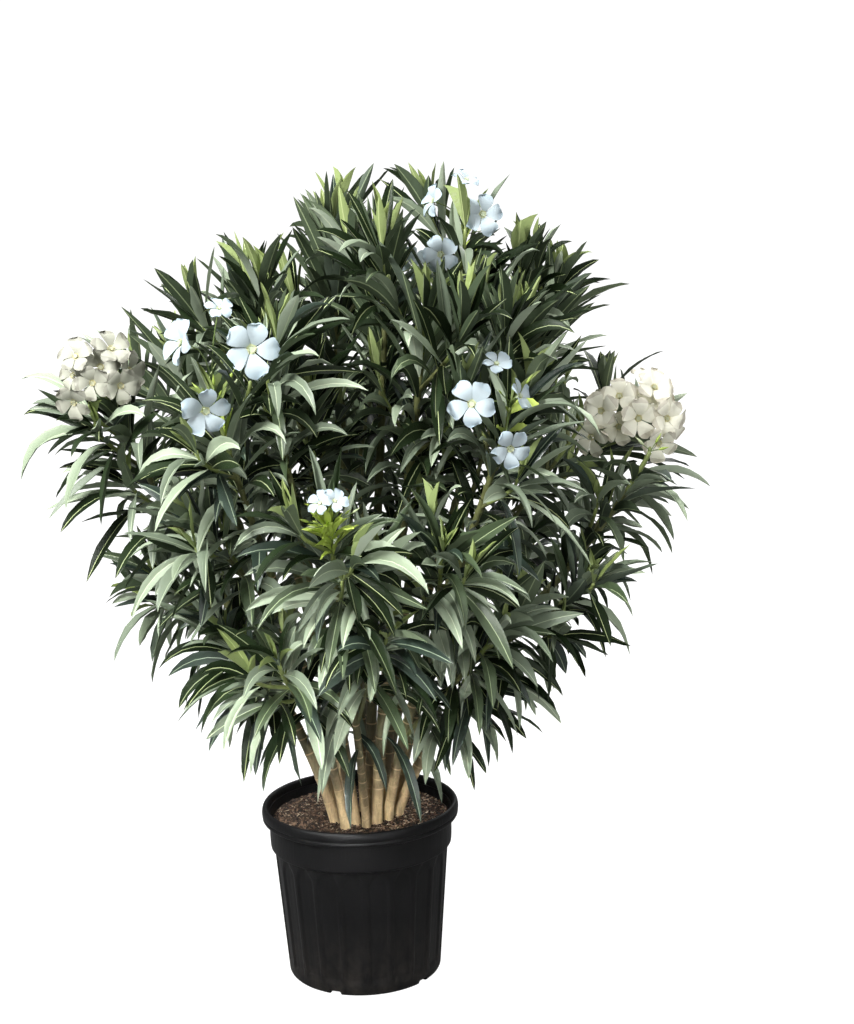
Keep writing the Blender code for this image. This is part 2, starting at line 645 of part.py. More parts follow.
class Mass:
    """The foliage of one shoot: a stem, its twigs, their blossom and leaves, all fused into one solid."""

    def __init__(self, growth, occupied, homes):
        self.growth, self.occupied, self.homes = growth, occupied, homes
        self.name = f"foliage_{growth.shoot.name}"
        self.dice = random.Random(f"{SEED} {self.name}")
        start = growth.leafy_start + (GAP if growth.shoot.limb else 0)
        self.start = start
        end = growth.route.length
        self.stem = growth.shape(start, end, STEM_SIDES, STEM_SEGMENT, 0, STEM_SWELL)
        chords = Chords(growth.route, start, end, STEM_SEGMENT)
        self.bearers = [(chords, max(start, end - growth.shoot.leafy), end)]
        self.stem_points = stem_points(growth)
        self.pieces = []
        self.leaves = 0

    def place(self, shape):
        self.pieces.append(shape)
        self.occupied.add(shape, self.name)

    def add_twigs(self):
        for count in range(self.growth.shoot.twigs):
            for _ in range(2 * TRIES):
                twig = self.plan_twig(count)
                if self.occupied.touches(twig_shape(twig, 0, TWIG_CLEARANCE), but=self.name):
                    continue
                if self.at_home(twig.points[-1]) and not self.occupied.touches(
                    twig_shape(twig, FORK_CLEAR, TWIG_CLEARANCE)
                ):
                    self.place(twig_shape(twig, 0, 0))
                    chords = Chords(twig, 0, twig.length, twig.length / 2)
                    self.bearers.append((chords, twig.length * TWIG_BARE, twig.length))
                    break

    def plan_twig(self, count):
        """A route that leaves the stem slanting forwards, to a random side, and turns upwards."""
        route, dice = self.growth.route, self.dice
        leafy = min(route.length - self.start, self.growth.shoot.leafy)
        mark = route.length - leafy * (TWIG_BACK + TWIG_PITCH * (count + dice.uniform(-0.25, 0.25)))
        foot, along = self.bearers[0][0].at(mark), route.heading(mark)
        side = Matrix.Rotation(dice.uniform(0, 2 * math.pi), 3, along) @ along.orthogonal().normalized()
        way = (along * TWIG_ALONG + side * dice.uniform(*TWIG_OUT)).normalized()
        span = leafy * dice.uniform(*TWIG_SPAN)
        tip = foot + (way + UP * TWIG_RISE) * span
        return Route(foot, foot + way * span / 3, tip - UP * span / 4, tip)

    def at_home(self, point):
        """Whether the point is nearer to this mass's stem than to a neighbour's, within TERRITORY."""
        own = min((point - place).length for place in self.stem_points)
        for _, index, distance in self.homes[0].find_n(point, NEIGHBOURS):
            if self.homes[1][index] != self.growth.shoot.name:
                return own < distance + TERRITORY
        return True

    def add_blossom(self):
        mark = self.bearers[0][2] - PEDICEL_STEP
        for centre, facing, diameter in bloom_of(self.growth, self.dice):
            stalk = pedicel(self.bearers[0][0].at(mark), centre - facing * FLOWER_DEPTH * 0.6)
            if self.occupied.touches(flower(centre, facing, diameter + 2 * FLOWER_CLEARANCE)):
                continue
            if not self.occupied.touches(stalk, but=self.name):
                self.place(flower(centre, facing, diameter))
                self.place(stalk)
                mark -= PEDICEL_STEP

    def add_leaves(self):
        for chords, start, end in self.bearers:
            reach = end - start
            rings = max(2, round(reach / WHORL_SPACING))
            for ring in range(rings):
                share = (ring + 0.15) / rings
                mark = end - reach * 0.94 * share**1.1 - FIRST_WHORL
                turn = WHORL_TWIST * (1 if ring % 2 else -1) + math.pi / STEM_SIDES
                girth = self.growth.radius(mark) if chords is self.bearers[0][0] else TIP_RADIUS
                for blade in range(WHORL):
                    self.add_leaf(chords, mark, share, turn + blade * 2 * math.pi / WHORL, girth)

    def add_leaf(self, chords, mark, share, turn, girth):
        """Places one leaf, turned and spread at random until it has room, or none where no try has."""
        root, along = chords.at(mark), chords.route.heading(mark)
        low = min(max((LOW_UNDER - root.z) / LOW_SPAN, 0), 1)
        young = YOUNG_LEAF + (1 - YOUNG_LEAF) * min(share / YOUNG_UNTIL, 1)
        for attempt in range(TRIES):
            loose = LOOSENESS[0] + LOOSENESS[1] * attempt
            side = (SIDE - along * SIDE.dot(along)).normalized()
            side = Matrix.Rotation(turn + self.dice.uniform(-loose, loose) * 2, 3, along) @ side
            spread = TIP_SPREAD + OLD_SPREAD * share + LOW_SPREAD * low + self.dice.uniform(-loose, loose)
            heading = (along * math.cos(spread) + side * math.sin(spread)).normalized()
            across = along.cross(side).normalized()
            droop = TIP_DROOP + (OLD_DROOP + LOW_OLD_DROOP * low) * share + LOW_DROOP * low
            droop += self.dice.uniform(0, LOOSE_DROOP)
            droop *= math.hypot(heading.x, heading.y)  # a steep blade stays stiff
            length = LEAF_LENGTH * young * self.dice.uniform(*LEAF_SIZES) * (1 - SHRINK * attempt)
            inner = root + side * girth * 0.2
            shape = leaf(inner, heading, across, length, LEAF_WIDTH, LEAF_THICKNESS, droop)
            if self.at_home(shape[0][-1]) and not self.crowded(shape, inner, heading, across, length, droop):
                self.place(shape)
                self.leaves += 1
                return

    def crowded(self, shape, root, heading, across, length, droop):
        """Whether a leaf or its swollen copy touches another mass, or all but its root touches anything."""
        wide, thick = LEAF_WIDTH + 2 * LEAF_CLEARANCE, LEAF_THICKNESS + 2 * LEAF_CLEARANCE
        above = heading.cross(across)
        raised = root + above * math.copysign(LEAF_CLEARANCE, above.z)
        whole = leaf(raised, heading, across, length + LEAF_CLEARANCE, wide, thick, droop)
        outer = leaf(raised + heading * LEAF_ROOT, heading, across, length, wide, thick, droop)
        touches = self.occupied.touches
        return touches(shape, but=self.name) or touches(whole, but=self.name) or touches(outer)

    def joined(self, pieces, solver):
        """The stem and these pieces as one solid, or nothing if the union comes out unsound."""
        mass = add_object(self.name, *self.stem, "foliage")
        if not self.growth.shoot.limb:
            cut_at_parent(mass, self.growth)
        joining = bpy.data.collections.new(self.name)
        for shape in pieces:
            add_object("piece", *shape, collection=joining)
        boolean(mass, "UNION", joining, solver)
        bpy.data.collections.remove(joining)
        if sound(mass):
            return mass
        bpy.data.objects.remove(mass, do_unlink=True)
        return None

    def fuse(self):
        """Joins the mass; where no solver can, the first piece that it can spare is left out."""
        for solver in ("EXACT", "MANIFOLD"):
            if self.joined(self.pieces, solver):
                return
        for spare in range(len(self.pieces)):
            kept = self.pieces[:spare] + self.pieces[spare + 1 :]
            if self.joined(kept, "EXACT"):
                return
        raise RuntimeError(f"{self.name} can't be joined")


def sound(thing):
    """Drops loose scraps, then says whether the mesh is one closed skin."""
    frame = bmesh.new()
    frame.from_mesh(thing.data)
    bmesh.ops.triangulate(frame, faces=frame.faces)
    bmesh.ops.remove_doubles(frame, verts=frame.verts, dist=MERGE)
    islands = []
    unseen = set(frame.faces)
    while unseen:
        island, edge = [], [unseen.pop()]
        while edge:
            face = edge.pop()
            island.append(face)
            for side in face.edges:
                for other in side.link_faces:
                    if other in unseen:
                        unseen.discard(other)
                        edge.append(other)
        islands.append(island)
    islands.sort(key=len)
    scraps = [face for island in islands[:-1] for face in island]
    bmesh.ops.delete(frame, geom=scraps, context="FACES")
    whole = all(part.is_manifold for part in [*frame.edges, *frame.verts])
    frame.to_mesh(thing.data)
    frame.free()
    return whole


def stem_points(growth):
    """Points spaced evenly along a shoot's stem."""
    start, end = growth.leafy_start, growth.route.length
    return [growth.route.at(start + (end - start) * step / STEM_POINTS) for step in range(STEM_POINTS + 1)]


def stem_map(growths):
    """A search tree of points along the leafy stems, with the shoot that each belongs to."""
    points, names = [], []
    for growth in growths.values():
        found = stem_points(growth)
        points += found
        names += [growth.shoot.name] * len(found)
    tree = KDTree(len(points))
    for index, point in enumerate(points):
        tree.insert(point, index)
    tree.balance()
    return tree, names


def mesh_shape(thing):
    mesh = thing.data
    return [vertex.co.copy() for vertex in mesh.vertices], [tuple(face.vertices) for face in mesh.polygons]


def main():
    clear_scene()
    make_materials()
    solids = [make_pot(), make_soil()]
    growths = grow_shoots(random.Random(SEED))
    solids += [make_limb(growth) for growth in growths.values() if growth.shoot.limb]
    occupied = Occupied()
    for solid in solids:
        occupied.add(mesh_shape(solid), solid.name)
    homes = stem_map(growths)
    masses = [Mass(growth, occupied, homes) for growth in growths.values()]
    for mass in masses:
        occupied.add(mass.stem, mass.name)
    for mass in masses:
        mass.add_twigs()
    for mass in masses:
        mass.add_blossom()
    for mass in masses:
        mass.add_leaves()
    for mass in masses:
        mass.fuse()
    print("leaves", sum(mass.leaves for mass in masses))


main()
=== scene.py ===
"""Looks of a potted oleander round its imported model: pot, compost, canes, twigs, leaves and blossom.

Metres, +Z up, front towards -Y. The sections follow the plant as it is put together: the pot and what fills
it, the canes that stand in it and their boughs, the twigs at their ends, then the blossom and the leaves.
"""

import json
import math
import random
from collections import namedtuple

import bmesh
import bpy
import numpy as np
from mathutils import Matrix, Vector, noise
from mathutils.bvhtree import BVHTree
from mathutils.kdtree import KDTree

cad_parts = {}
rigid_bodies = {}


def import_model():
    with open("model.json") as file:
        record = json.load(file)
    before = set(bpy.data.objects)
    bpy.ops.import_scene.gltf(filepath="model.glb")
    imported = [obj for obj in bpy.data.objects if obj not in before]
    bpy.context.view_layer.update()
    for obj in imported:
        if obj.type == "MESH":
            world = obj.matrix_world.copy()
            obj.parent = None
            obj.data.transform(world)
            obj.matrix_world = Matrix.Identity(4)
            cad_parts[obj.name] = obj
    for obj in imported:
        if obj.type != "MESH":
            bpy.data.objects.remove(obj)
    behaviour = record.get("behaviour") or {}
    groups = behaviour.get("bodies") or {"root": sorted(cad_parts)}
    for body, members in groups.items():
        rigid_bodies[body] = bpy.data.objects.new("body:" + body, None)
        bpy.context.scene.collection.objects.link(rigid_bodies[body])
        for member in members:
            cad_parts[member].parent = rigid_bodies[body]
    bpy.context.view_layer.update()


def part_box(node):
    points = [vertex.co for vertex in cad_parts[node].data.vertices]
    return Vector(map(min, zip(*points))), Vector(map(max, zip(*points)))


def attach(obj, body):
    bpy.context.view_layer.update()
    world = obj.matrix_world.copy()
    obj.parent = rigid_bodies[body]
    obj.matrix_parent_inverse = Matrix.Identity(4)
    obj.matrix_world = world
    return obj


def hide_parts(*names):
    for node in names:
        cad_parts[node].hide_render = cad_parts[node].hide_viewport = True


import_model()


# ---------------------------------------------------------------- The view
# A pale studio floor under a white sky, and four soft lamps: above to the left, behind, low to the right,
# and a narrow one on the canes. The camera is at head height, three and a half metres in front of the plant.

CAMERA_PLACE = Vector((0, -3.5, 1.582))
YAW, PITCH, ROLL = math.radians(2.49), math.radians(10.28), math.radians(-1.53)
FOCAL_LENGTH = 63.14
SENSOR = 36.0
FLOOR_HALF = 20.0
FLOOR_COLOUR = (0.17, 0.17, 0.17)
SKY_SEEN = 1.1  # brightness of the sky as the camera sees it
SKY_BAND = (0.10, 0.28, 0.14, 0.11)  # sines of two heights, and the sky's brightness below and above them
SKY_TOP = (0.35, 0.90, 0.0, 1.55)  # what is added overhead
Lamp = namedtuple("Lamp", "place aim size power spread")
LAMPS = {
    "key_lamp": Lamp((-2.2, -2.6, 3.6), (0, 0, 0.9), 1.3, 330, 180),
    "back_lamp": Lamp((1.8, 2.6, 3.2), (0, 0, 0.9), 2.0, 70, 180),
    "front_lamp": Lamp((1.7, -3.2, 1.7), (0, 0, 1.0), 1.2, 30, 180),
    "cane_lamp": Lamp((-0.7, -3.0, 1.35), (0, 0, 0.40), 0.5, 0.95, 16),
}


def aim(yaw, pitch, roll):
    """Rotation of a camera that looks along +Y, turned by yaw to the right, pitch down and roll."""
    ahead = Vector((math.sin(yaw) * math.cos(pitch), math.cos(yaw) * math.cos(pitch), -math.sin(pitch)))
    level = Vector((math.cos(yaw), -math.sin(yaw), 0))
    above = level.cross(ahead)
    across = level * math.cos(roll) + above * math.sin(roll)
    upward = above * math.cos(roll) - level * math.sin(roll)
    return Matrix((across, upward, -ahead)).transposed()


def show(name, data):
    """A new object with this name, in the scene."""
    thing = bpy.data.objects.new(name, data)
    bpy.context.scene.collection.objects.link(thing)
    return thing


def wire(tree, kind, ins=None, out=0, **settings):
    """Adds a shader node and returns one of its outputs; ins holds values or sockets for its inputs."""
    node = tree.nodes.new("ShaderNode" + kind)
    for label, value in settings.items():
        setattr(node, label, value)
    for label, value in (ins or {}).items():
        if isinstance(value, bpy.types.NodeSocket):
            tree.links.new(value, node.inputs[label])
        else:
            node.inputs[label].default_value = value
    return node.outputs[out]


def shader_of(material):
    return material.node_tree.nodes["Principled BSDF"]


def new_material(name, colour, roughness, own=None):
    """A material with these values on its shader's own sockets."""
    material = bpy.data.materials.new(name)
    material.use_nodes = True
    for label, value in {"Base Color": (*colour, 1), "Roughness": roughness, **(own or {})}.items():
        shader_of(material).inputs[label].default_value = value
    return material


lens = bpy.data.cameras.new("camera")
lens.lens = FOCAL_LENGTH
lens.sensor_width = SENSOR
camera = show("camera", lens)
camera.matrix_world = Matrix.Translation(CAMERA_PLACE) @ aim(YAW, PITCH, ROLL).to_4x4()
bpy.context.scene.camera = camera
bpy.context.scene.view_settings.view_transform = "Standard"

for name, row in LAMPS.items():
    light = bpy.data.lights.new(name, "AREA")
    light.shape = "DISK"
    light.size = row.size
    light.energy = row.power
    light.spread = math.radians(row.spread)
    lamp = show(name, light)
    lamp.location = row.place
    lamp.rotation_euler = (Vector(row.aim) - Vector(row.place)).to_track_quat("-Z", "Y").to_euler()

world = bpy.data.worlds.new("studio")
world.use_nodes = True
sky = world.node_tree
climb = wire(sky, "SeparateXYZ", {"Vector": wire(sky, "TexCoord", out="Generated")}, "Z")
bands = {}
for place, (low, high, before, after) in enumerate((SKY_BAND, SKY_TOP)):
    span = {"Value": climb, "From Min": low, "From Max": high, "To Min": before, "To Max": after}
    bands[place] = wire(sky, "MapRange", span, interpolation_type="SMOOTHSTEP")
total = wire(sky, "Math", bands, operation="ADD")
looked_at = wire(sky, "LightPath", out="Is Camera Ray")
sky_seen = wire(sky, "Mix", {"Factor": looked_at, "A": total, "B": SKY_SEEN})
backdrop = sky.nodes["Background"]
backdrop.inputs["Color"].default_value = (1, 1, 1, 1)
sky.links.new(sky_seen, backdrop.inputs["Strength"])
bpy.context.scene.world = world

floor_mesh = bpy.data.meshes.new("floor")
floor_corners = [(x * FLOOR_HALF, y * FLOOR_HALF, 0) for x, y in ((-1, -1), (1, -1), (1, 1), (-1, 1))]
floor_mesh.from_pydata(floor_corners, [], [(0, 1, 2, 3)])
studio_floor = new_material("studio_floor", FLOOR_COLOUR, 0.9)
floor_seen = wire(studio_floor.node_tree, "LightPath", out="Is Camera Ray")  # it shines only for the camera
studio_floor.node_tree.links.new(floor_seen, shader_of(studio_floor).inputs["Emission Strength"])
floor_mesh.materials.append(studio_floor)
show("floor", floor_mesh)


# ---------------------------------------------------------------- The pot
# A nursery pot blow-moulded in black plastic: a body with 21 ribs and sunk panels that end in arches, a plain
# collar, a rolled rim with a crease under its lip, and five drain notches bitten out of the foot.

pot_low, pot_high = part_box("pot")
POT_HEIGHT = pot_high.z
RIM_RADIUS = (pot_high.x - pot_low.x) / 2
RIM_DEPTH = 0.029
RIM_INNER = 0.186
RIM_EDGE = 0.0035  # how round the rim's lower edge is
RIM_ROLL = 0.006
LIP_DEPTH = 0.020  # from the top of the rim to its crease
LIP_RISE = 0.005  # from the crease to the widest place of the lip
CREASE = ((0.0006, -0.003), (0.0018, -0.0008), (0.0022, 0.0004), (0.0009, 0.0016))  # how far inwards and up
COLLAR_DEPTH = 0.058
COLLAR_STEP = 0.007
COLLAR_EDGE = 0.003
COLLAR_BELLY = 0.0012
BODY_TOP_RADIUS = 0.177
BODY_RINGS = 46
FOOT_RADIUS = 0.156
FOOT_ROUND = 0.009
WALL = 0.0045
POT_FLOOR = 0.014
RIB_COUNT = 21
RIB_PHASE = math.radians(1.4)
RIB_HALF = math.radians(1.3)
RIB_SHOULDER = math.radians(1.5)
PANEL_DEPTH = 0.0036
PANEL_EDGE_DEPTH = 0.75  # share of the depth reached right beside a rib
PANEL_FOOT = (0.024, 0.032)  # between these heights the panels sink to their full depth
PANEL_TOP = 0.004  # from the collar down to the arches
PANEL_ARCH = 0.024
ARCH_SLOPE = 0.005
COLUMNS = 18  # points round the pot for each rib
NOTCH_COUNT = 5
NOTCH_PHASE = math.radians(-24)
NOTCH_SIZE = (0.026, 0.044, 0.019)  # tangent, radial, height of the cutter; half of it is below the pot
NOTCH_ROUND = 0.003
COLLAR_FOOT = POT_HEIGHT - RIM_DEPTH - COLLAR_DEPTH
RIM_FOOT = POT_HEIGHT - RIM_DEPTH


def body_radius(height):
    widening = (BODY_TOP_RADIUS - FOOT_RADIUS) * (height - FOOT_ROUND) / (COLLAR_FOOT - FOOT_ROUND)
    return FOOT_RADIUS + widening


def pot_inside(height):
    """Inner radius of the wall: it follows the body, and flares to the rim inside the collar."""
    share = max(height - COLLAR_FOOT, 0) / (POT_HEIGHT - RIM_ROLL - COLLAR_FOOT)
    wall = body_radius(min(height, COLLAR_FOOT)) - PANEL_DEPTH - WALL
    return wall + (RIM_INNER - wall) * share


def arc(radius, height, size, first, last, steps):
    """Points (radius, height) of a round edge between two angles in degrees; 0 points outwards, 90 up."""
    turns = np.radians(np.linspace(first, last, steps))
    return [(radius + size * math.cos(turn), height + size * math.sin(turn)) for turn in turns]


def pot_profile():
    """(radius, height) of every ring, up the outside and down the inside, and the slice of them with ribs."""
    collar = body_radius(COLLAR_FOOT) + COLLAR_STEP
    lip = (RIM_RADIUS - RIM_INNER) / 2
    crease = POT_HEIGHT - LIP_DEPTH
    rings = [(0.05, 0), (0.12, 0)] + arc(FOOT_RADIUS - FOOT_ROUND, FOOT_ROUND, FOOT_ROUND, -90, 0, 6)
    body = slice(len(rings), len(rings) + BODY_RINGS)
    heights = np.linspace(0.014, COLLAR_FOOT - COLLAR_EDGE, BODY_RINGS)
    rings += [(body_radius(height), height) for height in heights]
    rings += arc(collar - COLLAR_EDGE, COLLAR_FOOT + COLLAR_EDGE, COLLAR_EDGE, -90, 0, 5)
    for share in np.linspace(0.12, 0.94, 8):
        belly = COLLAR_BELLY * math.sin(math.pi * share)
        rings.append((collar + belly, COLLAR_FOOT + COLLAR_DEPTH * share))
    rings += [(collar + 0.0004, RIM_FOOT - 0.0004), (RIM_RADIUS - RIM_ROLL, RIM_FOOT)]
    rings += arc(RIM_RADIUS - 0.0045, RIM_FOOT + RIM_EDGE, RIM_EDGE, -80, 0, 5)
    rings += [(RIM_RADIUS - inwards, crease + up) for inwards, up in CREASE]
    for turn in np.radians(np.linspace(-6, 184, 19)):
        height = crease + LIP_RISE + (LIP_DEPTH - LIP_RISE) * math.sin(turn)
        rings.append((RIM_INNER + lip + lip * math.cos(turn), height))
    rings += [(pot_inside(height), height) for height in np.linspace(POT_HEIGHT - 0.016, POT_FLOOR, 12)]
    return np.array(rings + [(0.08, POT_FLOOR)]), body


def panel_recess(angle, height):
    """How deep the panels between the ribs are sunk at this place on the body."""
    pitch = 2 * math.pi / RIB_COUNT
    off = np.abs((angle - RIB_PHASE + pitch / 2) % pitch - pitch / 2)
    shoulder = np.clip((off - RIB_HALF) / RIB_SHOULDER, 0, 1)
    shoulder = shoulder**2 * (3 - 2 * shoulder)
    middle = np.clip((off - RIB_HALF) / (pitch / 2 - RIB_HALF), 0, 1)
    arch = COLLAR_FOOT - PANEL_TOP - PANEL_ARCH * (1 - np.sin(math.pi / 2 * middle))
    low, high = PANEL_FOOT
    rise = np.clip((arch - height) / ARCH_SLOPE, 0, 1) * np.clip((height - low) / (high - low), 0, 1)
    return PANEL_DEPTH * shoulder * (PANEL_EDGE_DEPTH + (1 - PANEL_EDGE_DEPTH) * middle) * rise


def tube_faces(rings, around):
    """Corners of the quads between rings of points, with fans of triangles that close both ends."""
    step = np.arange(rings - 1)[:, None] * around
    here = np.arange(around)[None, :]
    beside = (here + 1) % around
    corners = [step + here, step + beside, step + around + beside, step + around + here]
    quads = np.stack(corners, -1).reshape(-1, 4)
    middle = np.arange(1, around - 1)
    none = np.full(around - 2, -1)
    low = np.stack([np.zeros(around - 2, int), middle + 1, middle, none], -1)
    high = np.stack([np.zeros(around - 2, int), middle, middle + 1, none], -1) + (rings - 1) * around
    high[:, 3] = -1
    return np.concatenate([quads, low, high])


class Pile:
    """Points and faces of many things, gathered to become one mesh. A face's fourth corner may be -1."""

    def __init__(self, *materials):
        self.materials = materials
        self.points, self.faces, self.slots, self.count = [], [], [], 0

    def add(self, points, faces, slots=0):
        faces = np.asarray(faces)
        self.points.append(np.asarray(points, np.float32))
        self.faces.append(np.where(faces < 0, -1, faces + self.count))
        self.slots.append(np.broadcast_to(np.asarray(slots, np.int32), len(faces)))
        self.count += len(points)

    def triangles(self):
        return sum(int((faces >= 0).sum()) - 2 * len(faces) for faces in self.faces)

    def make(self, name, slot, nodes=(), sharp=50):
        """The mesh object, riding on the plant's one body and standing for the nodes named."""
        faces = np.concatenate(self.faces)
        whole = faces >= 0
        sizes = whole.sum(1)
        mesh = bpy.data.meshes.new(name)
        mesh.vertices.add(self.count)
        mesh.vertices.foreach_set("co", np.concatenate(self.points).ravel())
        mesh.loops.add(int(sizes.sum()))
        mesh.loops.foreach_set("vertex_index", faces[whole].astype(np.int32))
        mesh.polygons.add(len(faces))
        mesh.polygons.foreach_set("loop_start", (np.cumsum(sizes) - sizes).astype(np.int32))
        mesh.polygons.foreach_set("material_index", np.concatenate(self.slots))
        for material in self.materials:
            mesh.materials.append(material)
        mesh.update(calc_edges=True)
        mesh.shade_smooth()
        mesh.set_sharp_from_angle(angle=math.radians(sharp))
        thing = show(name, mesh)
        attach(thing, "root")
        if nodes:
            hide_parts(*nodes)
        return thing


def group_tree(name, inputs, outputs):
    """An empty shader group with named number inputs and outputs of named kinds, and its two end nodes."""
    tree = bpy.data.node_groups.new(name, "ShaderNodeTree")
    for label, value in inputs.items():
        socket = tree.interface.new_socket(label, in_out="INPUT", socket_type="NodeSocketFloat")
        socket.default_value = value
    for label, kind in outputs.items():
        tree.interface.new_socket(label, in_out="OUTPUT", socket_type="NodeSocket" + kind)
    return tree, tree.nodes.new("NodeGroupInput"), tree.nodes.new("NodeGroupOutput")


def speckle_group():
    """Cloudy noise fixed to the object, drawn out or squeezed along Z, as a mask from 0 to 1."""
    knobs = {"Scale": 100.0, "Stretch": 1.0, "Contrast": 1.0}
    tree, ends, out = group_tree("speckle", knobs, {"Mask": "Float"})
    factors = wire(tree, "CombineXYZ", {"X": 1, "Y": 1, "Z": ends.outputs["Stretch"]})
    place = wire(tree, "TexCoord", out="Object")
    place = wire(tree, "VectorMath", {0: place, 1: factors}, operation="MULTIPLY")
    cloudy = {"Vector": place, "Scale": ends.outputs["Scale"], "Detail": 4, "Roughness": 0.6}
    centred = wire(tree, "Math", {0: wire(tree, "TexNoise", cloudy, "Fac"), 1: 0.5}, operation="SUBTRACT")
    spread = wire(tree, "Math", {0: centred, 1: ends.outputs["Contrast"], 2: 0.5},
                  operation="MULTIPLY_ADD", use_clamp=True)
    tree.links.new(spread, out.inputs["Mask"])
    return tree


SPECKLE = speckle_group()


def speckle(tree, scale, stretch=1.0, contrast=1.0):
    knobs = {"Scale": scale, "Stretch": stretch, "Contrast": contrast}
    return wire(tree, "Group", knobs, node_tree=SPECKLE)


def tint(tree, mask, *colours):
    """Mixes two colours, or a socket and a colour, by a mask."""
    first, second = (tone if isinstance(tone, bpy.types.NodeSocket) else (*tone, 1) for tone in colours)
    return wire(tree, "Mix", {"Factor": mask, 6: first, 7: second}, 2, data_type="RGBA")


def height_mask(tree, low, high):
    """0 below one height on the object and 1 above another."""
    height = wire(tree, "SeparateXYZ", {"Vector": wire(tree, "TexCoord", out="Object")}, "Z")
    return wire(tree, "MapRange", {"Value": height, "From Min": low, "From Max": high})


def wear(material, colour=None, roughness=None, height=None, depth=0.0005, strength=1.0):
    """Joins sockets to the material's shader: its colour, its roughness and the height of its bump."""
    tree = material.node_tree
    if height:
        height = wire(tree, "Bump", {"Height": height, "Distance": depth, "Strength": strength})
    for label, socket in (("Base Color", colour), ("Roughness", roughness), ("Normal", height)):
        if socket:
            tree.links.new(socket, shader_of(material).inputs[label])


def black_plastic():
    """Satin black with faint streaks, a thin film of dust all over and more of it near the foot."""
    material = new_material("black_plastic", (0.010, 0.010, 0.011), 0.5, {"Specular IOR Level": 0.19})
    tree = material.node_tree
    streaks = speckle(tree, 260, 0.06, 1.6)
    film = tint(tree, speckle(tree, 14, 1.0, 1.8), (0.0018, 0.0018, 0.0020), (0.0042, 0.0042, 0.0044))
    dust = {0: speckle(tree, 55, 0.7, 3.0), 1: height_mask(tree, 0.16, 0.0)}
    dusty = tint(tree, wire(tree, "Math", dust, operation="MULTIPLY"), film, (0.018, 0.016, 0.014))
    satin = wire(tree, "MapRange", {"Value": streaks, "To Min": 0.36, "To Max": 0.58})
    wear(material, dusty, satin, streaks, 0.0006, 0.35)
    return material


def make_pot():
    pitch = 2 * math.pi / RIB_COUNT
    angles = RIB_PHASE + pitch * (np.arange(RIB_COUNT * COLUMNS) + 0.5) / COLUMNS
    profile, body = pot_profile()
    radius = np.repeat(profile[:, :1], len(angles), 1)
    radius[body] -= panel_recess(angles[None], profile[body, 1:])
    heights = np.broadcast_to(profile[:, 1:], radius.shape)
    points = np.stack([radius * np.sin(angles), -radius * np.cos(angles), heights], -1)
    pile = Pile(black_plastic())
    pile.add(points.reshape(-1, 3), tube_faces(len(profile), len(angles)))
    pot = pile.make("nursery_pot", "black_plastic", ["pot"], sharp=40)
    cutters = bmesh.new()
    for count in range(NOTCH_COUNT):
        turn = Matrix.Rotation(NOTCH_PHASE + count * 2 * math.pi / NOTCH_COUNT, 4, "Z")
        place = turn @ Matrix.Translation((0, -FOOT_RADIUS, 0)) @ Matrix.Diagonal((*NOTCH_SIZE, 1))
        made = bmesh.ops.create_cube(cutters, size=1, matrix=place)
        edges = [edge for edge in cutters.edges if set(edge.verts) <= set(made["verts"])]
        bmesh.ops.bevel(cutters, geom=edges, offset=NOTCH_ROUND, segments=2, affect="EDGES", profile=0.5)
    mesh = bpy.data.meshes.new("notches")
    cutters.to_mesh(mesh)
    cutters.free()
    notches = show("notches", mesh)
    cut = pot.modifiers.new("drain_notches", "BOOLEAN")
    cut.operation = "DIFFERENCE"
    cut.object = notches
    pot.data = bpy.data.meshes.new_from_object(pot.evaluated_get(bpy.context.evaluated_depsgraph_get()))
    pot.modifiers.clear()
    bpy.data.objects.remove(notches, do_unlink=True)


make_pot()


# ---------------------------------------------------------------- The compost
# Dark bark compost, filled to three fingers under the rim and heaped a little round the canes. Loose chips
# and splinters of bark of several browns lie all over it.

SOIL_TOP = 0.325
SOIL_RADIUS = pot_inside(SOIL_TOP) - 0.0006
SOIL_RINGS, SOIL_SPOKES = 46, 150
SOIL_INSET = 0.001  # between the buried sides and the pot
HEAP, HEAP_SPREAD = 0.005, 0.007
LUMPS = 0.0026
COMPOST_GRAIN = (420, 1.0, 2.2)
COMPOST_COLOUR = (0.034, 0.022, 0.014)
CRUMBS = ((0.009, 0.006, 0.004), (0.080, 0.052, 0.033))
CHIP_COUNT = 5600
CHIP_LENGTH, CHIP_WIDTH, CHIP_THICKNESS = (0.0035, 0.0105), (0.0016, 0.0038), (0.0007, 0.0015)
CHIP_LIFT = 0.0022
CHIP_COLOURS = {  # colour and share of the chips
    "chip_black": ((0.012, 0.009, 0.007), 0.22),
    "chip_dark": ((0.036, 0.022, 0.014), 0.27),
    "chip_brown": ((0.100, 0.057, 0.034), 0.26),
    "chip_tan": ((0.220, 0.138, 0.084), 0.18),
    "chip_pale": ((0.420, 0.335, 0.225), 0.07),
}


def soil_height(x, y):
    """Height of the compost at a place: heaped towards the middle, with lumps of two sizes."""
    heap = HEAP * math.exp(-(x * x + y * y) / HEAP_SPREAD)
    lumps = noise.noise((x * 60, y * 60, 3)) + 0.6 * noise.noise((x * 190, y * 190, 7))
    return SOIL_TOP + heap - 0.002 + LUMPS * lumps


def grained(name, colour, roughness, tones=None, mottle=None, relief=None, depth=0.0005, strength=1.0,
            own=None):
    """A material with two tones mottled by one speckle, and a bump from another."""
    material = new_material(name, colour, roughness, own)
    tree = material.node_tree
    mixed = tones and tint(tree, speckle(tree, *mottle), *tones)
    wear(material, mixed, None, relief and speckle(tree, *relief), depth, strength)
    return material


def circle(radius, height, turns):
    return [(radius * math.sin(turn), -radius * math.cos(turn), height) for turn in turns]


